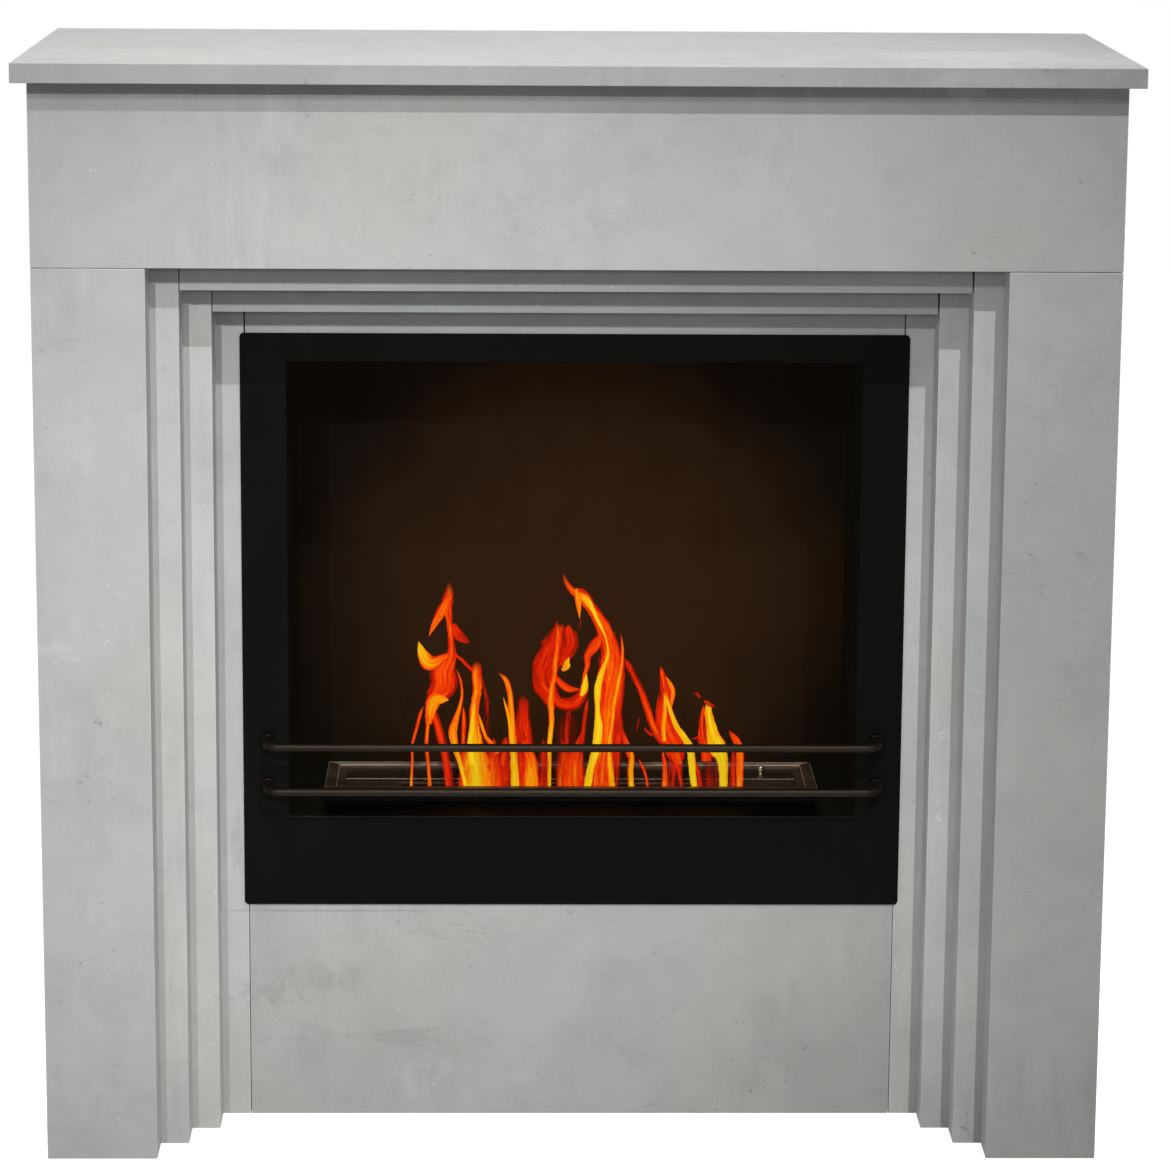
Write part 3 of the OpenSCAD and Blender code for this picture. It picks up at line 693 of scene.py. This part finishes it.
def makeCollars(s):
    low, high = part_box("rod_collars")
    bm = bmesh.new()
    bore, r, length, lip = s["bore"], s["radius"], s["length"], s["lip"]
    profile = [(bore, 0), (r, 0), (r, length - lip), (r - lip * 0.3, length - lip * 0.3), (r - lip, length),
               (bore, length), (bore, 0)]
    for x in (low.x + r, high.x - r):
        for z in (low.z + r, high.z - r):
            turned(bm, profile, (x, high.y, z), (0, -1, 0), s["steps"])
    weld(bm)
    return finishPiece("collar_rings", bm, [collarBronze], "surround", ["rod_collars"])


makeCollars(collarSettings)
makeBackPanel(backSettings)
print("insert front and back made")

# Burner top: folded rim round a recess with the flame slot, then its sheet thickness
burnerSettings = {"rim": 12 * mm, "recess": 6 * mm, "sheet": 2 * mm, "fold": 0.9 * mm, "arris": 0.5 * mm,
                  "slotHalf": 167 * mm, "slotFront": 4 * mm, "slotDepth": 30 * mm, "skirt": 1 * mm,
                  "touch": 0.01 * mm}


def makeBurnerTop(s):
    low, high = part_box("burner_top_plate")
    bm = boxMesh(low, high)
    top = [f for f in bm.faces if f.normal.z > 0.9]
    bmesh.ops.inset_region(bm, faces=top, thickness=s["rim"], use_even_offset=True)
    grown = bmesh.ops.extrude_face_region(bm, geom=top)
    bmesh.ops.delete(bm, geom=top, context="FACES")
    sunk = [v for v in grown["geom"] if isinstance(v, bmesh.types.BMVert)]
    bmesh.ops.translate(bm, vec=(0, 0, -s["recess"]), verts=sunk)
    slotLow = low.y + s["rim"] + s["slotFront"]
    slotHigh, floor = slotLow + s["slotDepth"], high.z - s["recess"]
    plate = [f for f in grown["geom"] if isinstance(f, bmesh.types.BMFace)]
    for at, normal in (((-s["slotHalf"], 0, 0), (1, 0, 0)), ((s["slotHalf"], 0, 0), (1, 0, 0)),
                       ((0, slotLow, 0), (0, 1, 0)), ((0, slotHigh, 0), (0, 1, 0))):
        around = {v for f in plate for v in f.verts} | {e for f in plate for e in f.edges} | set(plate)
        bmesh.ops.bisect_plane(bm, geom=list(around), plane_co=at, plane_no=normal)
        plate = [f for f in bm.faces if f.normal.z > 0.9 and abs(f.calc_center_median().z - floor) < s["touch"]]
    slot = [f for f in plate if abs(f.calc_center_median().x) < s["slotHalf"]
            and slotLow < f.calc_center_median().y < slotHigh]
    under = [f for f in bm.faces if f.normal.z < -0.9]
    bmesh.ops.delete(bm, geom=slot + under, context="FACES_ONLY")
    bmesh.ops.recalc_face_normals(bm, faces=bm.faces)
    for face in bm.faces:
        at = face.calc_center_median()
        onRim = face.normal.z > 0.9 and at.z > high.z - 0.5 * s["recess"]
        aside = min(at.x - low.x, high.x - at.x, at.y - low.y, high.y - at.y)
        # the outer sides are near black
        outside = abs(face.normal.z) < 0.1 and aside < s["skirt"]
        # the back rim's top is painted pale as a highlight
        face.material_index = 1 if onRim and at.y > (low.y + high.y) / 2 else 2 if outside else 0
    brim = [e for e in bm.edges if e.is_manifold and e.calc_face_angle(0) > 0.5
            and all(abs(v.co.z - high.z) < s["touch"] for v in e.verts)]
    # the folds are painted pale as highlight lines
    roundEdges(bm, brim, s["fold"], material=3)
    piece = finishPiece("burner_top", bm, [plateMetal, backRimHighlight, skirtNearBlack, foldHighlight], "burner",
                        ["burner_top_plate"])
    shell = piece.modifiers.new("sheet", "SOLIDIFY")
    shell.thickness = s["sheet"]
    shell.offset = -1
    shell.use_even_offset = True
    fold = piece.modifiers.new("fold", "BEVEL")
    fold.width = s["arris"]
    fold.segments = 2
    fold.limit_method = "ANGLE"
    fold.angle_limit = math.radians(60)
    return piece


makeBurnerTop(burnerSettings)

# Shutter: a plate whose front top edge is painted pale as a highlight
shutterSettings = {"arris": 0.5 * mm}


def makeShutter(s):
    low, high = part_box("shutter")
    bm = boxMesh(low, high)
    roundEdges(bm, bm.edges[:], s["arris"], material=1)
    for face in bm.faces:
        # the front top arris is painted pale as a highlight
        frontTopEdge = face.normal.y < -0.1 and face.normal.z > 0.1
        face.material_index = 1 if face.material_index == 1 and frontTopEdge else 0
    return finishPiece("shutter_plate", bm, [shutterMetal, shutterEdgeHighlight], "shutter", ["shutter"])


makeShutter(shutterSettings)

# Knob on the shutter: turned in one piece with its neck
knobSettings = {"radius": 3.5 * mm, "neck": 2.1 * mm, "neckHigh": 3.2 * mm, "shank": 1.7 * mm, "sunk": 2 * mm,
                "fillet": 0.6 * mm, "lip": 0.5 * mm, "dome": (1.2 * mm, 0.3 * mm), "steps": 32}


def makeKnob(s):
    low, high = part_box("shutter_knob")
    centre = Vector(((low.x + high.x) / 2, (low.y + high.y) / 2, low.z))
    head, tall = s["sunk"] + s["neckHigh"], high.z - low.z
    r, neck, shank, sunk = s["radius"], s["neck"], s["shank"], s["sunk"]
    profile = [(0, 0), (shank, 0), (shank, sunk), (neck * 1.3, sunk), (neck, sunk + s["fillet"]), (neck, head),
               (r * 0.9, head), (r, head + s["lip"]), (r, tall - s["dome"][0]), (r * 0.8, tall - s["dome"][1]),
               (0, tall)]
    bm = bmesh.new()
    turned(bm, profile, centre, (0, 0, 1), s["steps"])
    weld(bm)
    return finishPiece("knob", bm, [knobBrass], "shutter", ["shutter_knob"])


makeKnob(knobSettings)
print("burner made")

# Wool in the tank: a pad with a rough top and loose fibres lying on it
woolSettings = {
    "columns": 150,
    "rows": 24,
    "tufts": (90, 150),  # in a metre, across and along
    "tuftNoise": (0.9, 2.1, 4),  # how even, step of size, layers
    "rough": 1.6 * mm,
    "edge": 3 * mm,
    "fibres": 420,
    "fibreParts": 4,
    "fibreLong": 16 * mm,
    "fibreThick": 0.16 * mm,
    "fibreBend": 1.4,
    "fibreLift": 0.15 * mm,
    "seed": 7,
}


def makeWoolPad(s):
    low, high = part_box("ceramic_wool")
    size, centre = high - low, (low + high) / 2
    bm = bmesh.new()
    bmesh.ops.create_grid(bm, x_segments=s["columns"], y_segments=s["rows"], size=0.5)
    bmesh.ops.scale(bm, vec=(size.x, size.y, 1), verts=bm.verts)
    bmesh.ops.translate(bm, vec=(centre.x, centre.y, high.z), verts=bm.verts)

    def topAt(x, y):
        tuft = noise.fractal(Vector((x * s["tufts"][0], y * s["tufts"][1], 4.7)), *s["tuftNoise"])
        rim = min(x - low.x, high.x - x, y - low.y, high.y - y)
        sag = 1 - min(1.0, rim / s["edge"])
        return high.z - s["rough"] * min(1.0, max(0.05, 0.5 - 0.5 * tuft)) - sag * sag * s["edge"] * 0.5

    for vert in bm.verts:
        vert.co.z = topAt(vert.co.x, vert.co.y)
    grown = bmesh.ops.extrude_face_region(bm, geom=bm.faces[:])
    base = [v for v in grown["geom"] if isinstance(v, bmesh.types.BMVert)]
    for vert in base:
        vert.co.z = low.z
    for step in range(s["fibres"]):
        spread = noise.random_unit_vector()
        across = (noise.random() - 0.5) * (size.x - 2 * s["fibreLong"])
        along = (noise.random() - 0.5) * (size.y - 2 * s["fibreLong"])
        middle = Vector((centre.x + across, centre.y + along, 0))
        way = Vector((spread.x, 0.6 * spread.y, 0)).normalized()
        bend = Vector((-way.y, way.x, 0)) * spread.z * s["fibreBend"]
        route = []
        for part in range(s["fibreParts"] + 1):
            t = part / s["fibreParts"] - 0.5
            at = middle + (way * t + bend * t * t) * s["fibreLong"]
            at.z = min(high.z - s["fibreThick"], topAt(at.x, at.y) + s["fibreLift"] * (1 + spread.z))
            route.append((at, way))
        sweep(bm, route, s["fibreThick"], 4)
    capHoles(bm, sides=4)
    bmesh.ops.recalc_face_normals(bm, faces=bm.faces)
    return finishPiece("wool_pad", bm, [wool], "burner", ["ceramic_wool"], smooth=True)


noise.seed_set(woolSettings["seed"])
makeWoolPad(woolSettings)

# Flames. Each tongue: heat at its foot and at its tip (0 dark red, 1 yellow), how far it stands
# behind the middle of the slot, and its route in millimetres: across, up from the floor, half width,
# which a tip leaves out
flameSettings = {
    "sides": 16,
    "stepsPerPoint": 5,
    "flatness": 0.30,
    "thinnest": 0.5,
    "tip": 0.02,
    "foot": 301,
    "footZone": 318,  # tongues that start below this grow from the slot
    "shift": (3.6, 1.8, 0),
    "streakWide": 0.28,
    "streakLong": 0.022,
    "streakMost": 3.0,
    "apart": (7.3, 3.1),  # each tongue shows another part of the streaks
}
tongues = {
    "left": [
        (0.3, 0.45, 2, [(-124, 310, 4.1), (-129, 343, 3.8), (-136, 371, 4.1), (-141, 390, 7.2), (-130, 409, 14.5),
         (-129, 424, 13.3), (-122, 439, 5.5), (-122, 457, 3.5), (-124, 476, 3.5), (-126, 491, 6.1),
         (-124, 503, 4.9), (-123, 515)]),
        (0.4, 0.98, -3, [(-125, 441, 3), (-132, 437, 5), (-138, 434, 7), (-144, 434, 8.5), (-149, 441, 6),
         (-152, 449, 3), (-154, 456)]),
        (0.5, 0.55, -3, [(-123, 500, 3.2), (-129, 489, 5.6), (-135, 478, 4.4), (-140, 468, 2.4), (-144, 459)]),
        (0.3, 0.25, 4, [(-121, 470, 4), (-117, 463, 6.5), (-112, 458, 6), (-107, 454, 3.5), (-103, 451)]),
        (0.55, 0.85, -4, [(-144, 372, 3.2), (-142, 386, 6), (-138, 396, 7.5), (-131, 397, 5), (-123, 396)]),
        (0.6, 0.35, -2, [(-161, 310, 1.6), (-160, 335, 1.4), (-160, 350, 1.4), (-156, 366, 1.7), (-152, 382, 1.7),
         (-148, 391)]),
        (0.65, 0.5, -5, [(-143, 310, 2.2), (-144, 329, 1.9), (-146, 350, 2), (-145, 368, 2), (-144, 381, 1.7),
         (-142, 392)]),
        (0.2, 0.3, 3, [(-123, 310, 4.3), (-127, 335, 4.6), (-131, 353, 5.2), (-135, 368, 4.6), (-138, 380, 3.2),
         (-140, 392)]),
        (1, 0.4, -4, [(-108, 310, 2.2), (-113, 332, 2.6), (-118, 350, 3.8), (-120, 365, 4.6), (-117, 377, 3.5),
         (-113, 390, 2), (-111, 403, 1.4), (-113, 418, 1.4), (-118, 430)]),
        (0.3, 0.3, 4, [(-111, 310, 4.3), (-110, 350, 2.6), (-109, 372, 2.6), (-110, 390)])],
    "second": [
        (0.9, 0.45, 0, [(-96, 310, 14.5), (-97, 331, 14.2), (-98, 349, 9.6), (-99, 368, 5.5), (-99, 387, 4.9),
         (-96, 406, 4.8), (-97, 421, 5.5), (-96, 431, 4.6), (-94, 435)]),
        (0.1, 0.05, 6, [(-85, 335, 4.6), (-87, 358, 4.3), (-87, 375, 3.8), (-87, 395, 3.2), (-90, 409, 2),
         (-92, 420)]),
        (0.55, 0.65, -5, [(-75, 343, 3.8), (-82, 352, 2.9), (-88, 360, 2), (-92, 372, 1.7), (-95, 384)]),
        (0.3, 0.2, 3, [(-100, 424, 2.3), (-106, 429, 2.2), (-111, 435, 2), (-116, 439, 1.7), (-118, 446)]),
        (0.95, 0.9, -6, [(-101, 331, 3.5), (-103, 349, 3.5), (-101, 368, 3.2), (-100, 383, 2), (-98, 395)])],
    "third": [
        (0.95, 0.55, -4, [(-59, 310, 4.9), (-60, 335, 4.1), (-61, 350, 4.1), (-62, 371, 3.9), (-63, 387, 3.2),
         (-64, 402, 2.9), (-67, 414, 2.9), (-71, 420, 1.9), (-77, 425)]),
        (0.8, 0.7, -6, [(-63, 356, 1.7), (-65, 377, 1.6), (-68, 390, 1.3), (-71, 401)]),
        (0.35, 0.2, 5, [(-72, 310, 8.7), (-72, 331, 9), (-70, 344, 7.2), (-69, 352, 4.1), (-67, 358)])],
    "dark": [
        (0.32, 0.2, 7, [(-48, 310, 13.6), (-49, 332, 13), (-50, 349, 12), (-51, 368, 10), (-51, 383, 7.6),
         (-51, 393, 6.4), (-50, 400)]),
        (0.7, 0.4, -2, [(-42, 310, 8.5), (-43, 325, 7.9), (-44, 337, 7), (-48, 348, 3.6), (-51, 356)])],
    "swirl": [
        (0.85, 0.4, -5, [(-25, 310, 2.1), (-25, 332, 2.1), (-25, 352, 2.6), (-23, 376, 3), (-24, 391, 3.3),
         (-23, 407, 3.3), (-21, 422, 3), (-20, 438, 3.3), (-18, 453, 2.7), (-17, 465, 2), (-18, 477)]),
        (0.28, 0.2, 2, [(-22, 385, 3.3), (-27, 399, 8), (-34, 410, 10), (-35, 423, 9), (-31, 436, 10),
         (-26, 447, 9.1), (-21, 456, 7.3), (-19, 465, 3.9), (-18, 477)]),
        (0.26, 0.3, 3, [(-14, 430, 4.5), (-9, 442, 8.5), (-5, 451, 9), (-6, 461, 8), (-7, 467, 4), (-4, 471)]),
        (0.24, 0.3, 6, [(-20, 390, 6), (-25, 402, 11), (-29, 415, 14), (-27, 430, 13.5), (-19, 445, 17),
         (-16, 456, 14), (-14, 465, 8), (-12, 472)]),
        (0.75, 0.95, -3, [(-13, 426, 1.8), (-9, 430, 3.8), (-8, 434, 3), (-6, 440)]),
        (0.35, 0.3, -4, [(-22, 423, 2.1), (-15, 414, 3.9), (-7, 408, 4.2), (0, 407, 2.4), (7, 407)]),
        (0.28, 0.5, 0, [(-22, 404, 4), (-18, 395, 6.5), (-10, 391, 8), (-1, 392, 8.5), (6, 399, 6.5),
         (9, 408, 4.2), (9, 419, 2.4), (12, 430, 2.8), (12, 440, 4), (18, 449, 6), (24, 459, 3.5), (27, 466)]),
        (0.8, 0.9, -5, [(6, 401, 1.8), (9, 408, 4.1), (10, 416, 2.7), (11, 424)]),
        (0.4, 0.3, 1, [(-1, 310, 12.9), (-1, 329, 11.8), (2, 343, 7.3), (7, 356, 3.9), (9, 371, 2.7),
         (11, 387, 2.1), (13, 399)]),
        (0.1, 0.06, 8, [(-8, 305, 14), (-8, 332, 13), (-8, 352, 12), (-7, 370, 10.5), (-5, 388)])],
    "tall": [
        (0.45, 0.45, 1, [(26, 310, 12.9), (27, 332, 12.1), (29, 349, 10.9), (32, 371, 12.4), (33, 391, 13.3),
         (34, 414, 13.9), (35, 433, 12.7), (34, 448, 10.3), (29, 464, 8.8), (22, 478, 6.7), (14, 490, 6),
         (6, 501, 6.7), (-3, 505, 3.8), (-10, 515, 2.4), (-13, 526)]),
        (1, 0.9, -6, [(13, 310, 4.2), (16, 329, 4.2), (21, 349, 4.8), (23, 369, 4.8), (22, 387, 2.7),
         (22, 407, 3.9), (25, 421, 3.3), (29, 433, 2.1), (32, 445, 1.5), (29, 461, 1.2), (22, 476, 2.1),
         (16, 489, 2.6), (9, 499, 4.1), (3, 503, 1.8), (-2, 505)]),
        (0.75, 0.6, -5, [(37, 310, 3.6), (35, 332, 3), (34, 352, 2.7), (37, 376, 2.1), (38, 391, 1.8),
         (41, 407, 1.8), (45, 430, 1.5), (46, 448, 1.4), (44, 466)]),
        (0.2, 0.25, 4, [(39, 310, 6), (42, 337, 6), (43, 365, 5.4), (43, 383, 4.2), (45, 407, 3.9),
         (47, 430, 2.4), (46, 451, 2), (44, 467)]),
        (0.6, 0.7, -4, [(0, 508, 2), (2, 499, 3.2), (3, 489, 2.4), (4, 477)]),
        (0.1, 0.05, 2, [(5, 477, 0.9), (4, 469, 1.1), (1, 460)]),
        (0.3, 0.25, 3, [(55, 337, 3.6), (51, 349, 4.5), (48, 360, 2.3), (46, 368)])],
    "between": [
        (0.36, 0.3, 3, [(89, 347, 3), (83, 358, 4.4), (76, 371, 4.4), (71, 387, 4), (65, 404, 3.6),
         (58, 419, 3.8), (52, 430, 4), (48, 438)])],
    "fourth": [
        (1, 0.35, -4, [(56, 309, 3.2), (55, 324, 3.2), (56, 337, 3.3), (55, 347, 1.6), (51, 355, 1.1),
         (46, 365)]),
        (0.5, 0.3, -2, [(72, 309, 1.5), (70, 320, 1.6), (66, 330, 1.6), (62, 337)])],
    "fifth": [
        (0.42, 0.3, 2, [(103, 330, 4), (100, 342, 11), (97, 351, 12.3), (92, 361, 11.3), (88, 374, 9.5),
         (87, 388, 8.2), (89, 401, 7), (88, 413, 5.3), (86, 422, 3.4), (83, 431)]),
        (1, 0.8, -6, [(118, 309, 3.5), (116, 324, 4), (115, 338, 4.3), (113, 349, 4.3), (107, 360, 3.4),
         (100, 370, 3), (95, 382, 2.5), (91, 395, 1.9), (88, 408)]),
        (0.7, 0.8, -5, [(88, 355, 2), (87, 367, 2.8), (88, 382, 2.5), (88, 395, 1.5), (87, 406)]),
        (0.45, 0.6, -3, [(93, 384, 1.6), (95, 396, 2.4), (96, 405, 2.8), (93, 413, 2.2), (88, 421)]),
        (0.6, 0.5, -4, [(89, 309, 3.2), (89, 324, 2.6), (88, 335, 2.4), (86, 347)]),
        (0.2, 0.3, 3, [(106, 309, 2), (103, 325, 4), (99, 338, 5.5), (97, 348)]),
        (0.15, 0.2, 4, [(124, 309, 4.3), (122, 322, 3.8), (118, 333, 2.3), (115, 342)])],
    "bits": [
        (0.15, 0.2, 3, [(77, 359, 1.6), (72, 362, 2.3), (68, 367)]),
        (0.2, 0.2, 3, [(61, 364, 1), (62, 370, 1.6), (64, 378)]),
        (0.2, 0.15, -2, [(123, 398, 0.8), (121, 401, 2.3), (119, 403, 1.8), (116, 402)])],
    "sixth": [
        (1, 0.85, -3, [(147, 309, 4.8), (147, 324, 5.3), (145, 338, 6.6), (140, 349, 10.3), (136, 361, 6.8),
         (133, 374, 5.3), (131, 384, 4.2), (131, 392, 3.2), (128, 397)]),
        (0.4, 0.35, 3, [(130, 333, 6), (130, 346, 6), (127, 358, 4), (125, 371, 3), (126, 382, 2.2), (127, 391)]),
        (0.3, 0.2, -5, [(127, 396, 1.6), (131, 393, 2.6), (135, 391, 2), (139, 389)]),
        (0.3, 0.2, 2, [(125, 348, 2.5), (122, 357, 2), (118, 356, 1.1), (114, 356)]),
        (0.3, 0.3, 1, [(126, 352, 2), (123, 360, 1.6), (123, 365, 1.3), (124, 369)])],
    "last": [
        (0.75, 0.35, -3, [(163, 309, 3.6), (163, 324, 4), (163, 337, 4.2), (162, 347, 4.8), (159, 355, 4.2),
         (155, 361, 2.4), (151, 367)]),
        (0.2, 0.15, 4, [(157, 309, 4.3), (157, 324, 4.5), (157, 335, 3.5), (156, 346)])],
    "fill": [
        (0.55, 0.35, 7, [(-79, 309, 9), (-79, 330, 8), (-80, 345, 5), (-80, 356)]),
        (0.22, 0.12, 7, [(-31, 309, 6), (-31, 332, 6), (-31, 346, 4), (-30, 356)]),
        (0.5, 0.3, 7, [(-10, 309, 9), (-10, 330, 8), (-11, 342, 5), (-12, 354)]),
        (0.13, 0.08, 7, [(98, 309, 10), (98, 330, 9), (97, 345, 6), (96, 356)]),
        (0.13, 0.08, 7, [(135, 309, 9), (134, 330, 8), (134, 345, 5), (134, 354)])],
}


def smoothRoute(points, steps):
    # a Catmull-Rom curve through the points
    padded = [points[0]] + points + [points[-1]]
    route = []
    for a, b, c, d in zip(padded, padded[1:], padded[2:], padded[3:]):
        for step in range(steps):
            t = step / steps
            route.append(0.5 * (2 * b + (c - a) * t + (2 * a - 5 * b + 4 * c - d) * t * t
                                + (3 * b - a - 3 * c + d) * t * t * t))
    route.append(points[-1])
    return route


def growTongue(bm, layers, index, tongue, s, middle):
    form, placed = layers
    low, high, depth, points = tongue
    points = [Vector(p).to_3d() + Vector(s["shift"]) for p in points]
    if points[0].y < s["footZone"]:
        points.insert(0, Vector((points[0].x, s["foot"], points[0].z)))
    route = smoothRoute(points, s["stepsPerPoint"])
    lengths = [0.0]
    for a, b in zip(route, route[1:]):
        lengths.append(lengths[-1] + (b.xy - a.xy).length)
    last = len(route) - 1
    made = bmesh.ops.create_grid(bm, x_segments=last, y_segments=s["sides"], size=0.5)
    for vert in made["verts"]:
        ring = min(last, round((vert.co.x + 0.5) * last))
        angle = 2 * math.pi * (vert.co.y + 0.5)
        at = route[ring]
        way = (route[min(last, ring + 1)].xy - route[max(0, ring - 1)].xy).normalized()
        half = max(s["tip"], at.z)
        thick = max(s["thinnest"] * min(1.0, half), half * s["flatness"])
        side = math.cos(angle)
        vert.co = Vector((at.x + way.y * side * half, middle + depth + math.sin(angle) * thick,
                          at.y - way.x * side * half)) * mm
        share = lengths[ring] / lengths[-1]
        vert[form] = Vector((side, share, low + (high - low) * share))
        vert[placed] = Vector((side * min(s["streakMost"], half * s["streakWide"]) + index * s["apart"][0],
                               lengths[ring] * s["streakLong"], index * s["apart"][1]))


def makeFlames(s):
    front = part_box("burner_top_plate")[0].y + burnerSettings["rim"] + burnerSettings["slotFront"]
    slotMiddle = (front + burnerSettings["slotDepth"] / 2) / mm
    bm = bmesh.new()
    # across, rise and heat; then the place over and along the tongue
    layers = vectorLayers(bm, ("flameForm", "flamePlace"))
    for index, tongue in enumerate(tongue for group in tongues.values() for tongue in group):
        growTongue(bm, layers, index, tongue, s, slotMiddle)
    weld(bm)
    capHoles(bm)
    bmesh.ops.recalc_face_normals(bm, faces=bm.faces)
    piece = finishPiece("flames", bm, [flameGlow], "burner", smooth=True)
    foot = Vector((0, slotMiddle * mm, s["foot"] * mm))
    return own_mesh(piece)


makeFlames(flameSettings)
print("flames made")

# Materials for the nodes that stay as they are
kept = [
    (chipboard, ["apron_cleat_left", "apron_cleat_right", "insert_shelf", "shelf_cleat_left",
                 "shelf_cleat_right", "top_rail_front", "top_rail_back", "bottom_rail_back"]),
    (beech, ["dowels"]),
    (zincSteel, ["shelf_brackets", "rod_nuts"]),
    (yellowZinc, ["bracket_screws", "tab_screws"]),
    (backSheet, ["firebox_back"]),
    (fireboxSheet, ["firebox_wall_left", "firebox_wall_right", "firebox_ceiling", "casing_base", "casing_tabs"]),
    (floorSheet, ["firebox_floor"]),
    (plateMetal, ["shutter_guides"]),
    (tankSteel, ["burner_tank"]),
]
for material, names in kept:
    for name in names:
        mesh = nodes[name].data
        mesh.materials.clear()
        mesh.materials.append(material)


# Floor and background: white to the camera and in reflections, with the object's shadow kept
stageSettings = {"size": 12, "colour": (0.55, 0.55, 0.55), "glow": 0.90}


def seenDirectly(tree):
    # 1 for rays from the camera and in reflections, 0 for the light that falls on the object
    rays = addNode(tree, "ShaderNodeLightPath")
    mirrored = calc("MAXIMUM", rays["Is Glossy Ray"], rays["Is Transmission Ray"])
    return calc("MAXIMUM", rays["Is Camera Ray"], mirrored)


def makeStage(s):
    made, tree, skin = newMaterial("floorWhite", {"Roughness": 0.9, "Specular IOR Level": 0.0,
                                                  "Base Color": s["colour"]})
    matt = Value(tree.nodes["Principled BSDF"].outputs[0])
    glow = addNode(tree, "ShaderNodeEmission", None, {"Color": (1, 1, 1), "Strength": s["glow"]})["Emission"]
    both = addNode(tree, "ShaderNodeAddShader", None, {0: glow, 1: matt})["Shader"]
    pick = addNode(tree, "ShaderNodeMixShader", None, {0: seenDirectly(tree), 1: matt, 2: both})["Shader"]
    feed(tree.nodes["Material Output"].inputs["Surface"], pick)
    bm = bmesh.new()
    bmesh.ops.create_grid(bm, x_segments=1, y_segments=1, size=s["size"] / 2)
    mesh = bpy.data.meshes.new("floor")
    bm.to_mesh(mesh)
    bm.free()
    mesh.materials.append(made)
    addObject("floor", mesh)


def makeWorld(ambient):
    world = bpy.data.worlds.new("studio")
    bpy.context.scene.world = world
    world.use_nodes = True
    back = world.node_tree.nodes["Background"].inputs
    feed(back["Color"], (1, 1, 1))
    feed(back["Strength"], seenDirectly(world.node_tree) * (1.0 - ambient) + ambient)


makeStage(stageSettings)
makeWorld(lampSettings["ambient"])
makeLamps(lampSettings)
makeCamera(cameraSettings)
bpy.context.scene.view_settings.view_transform = "Standard"
print("stage, lamps and camera ready")
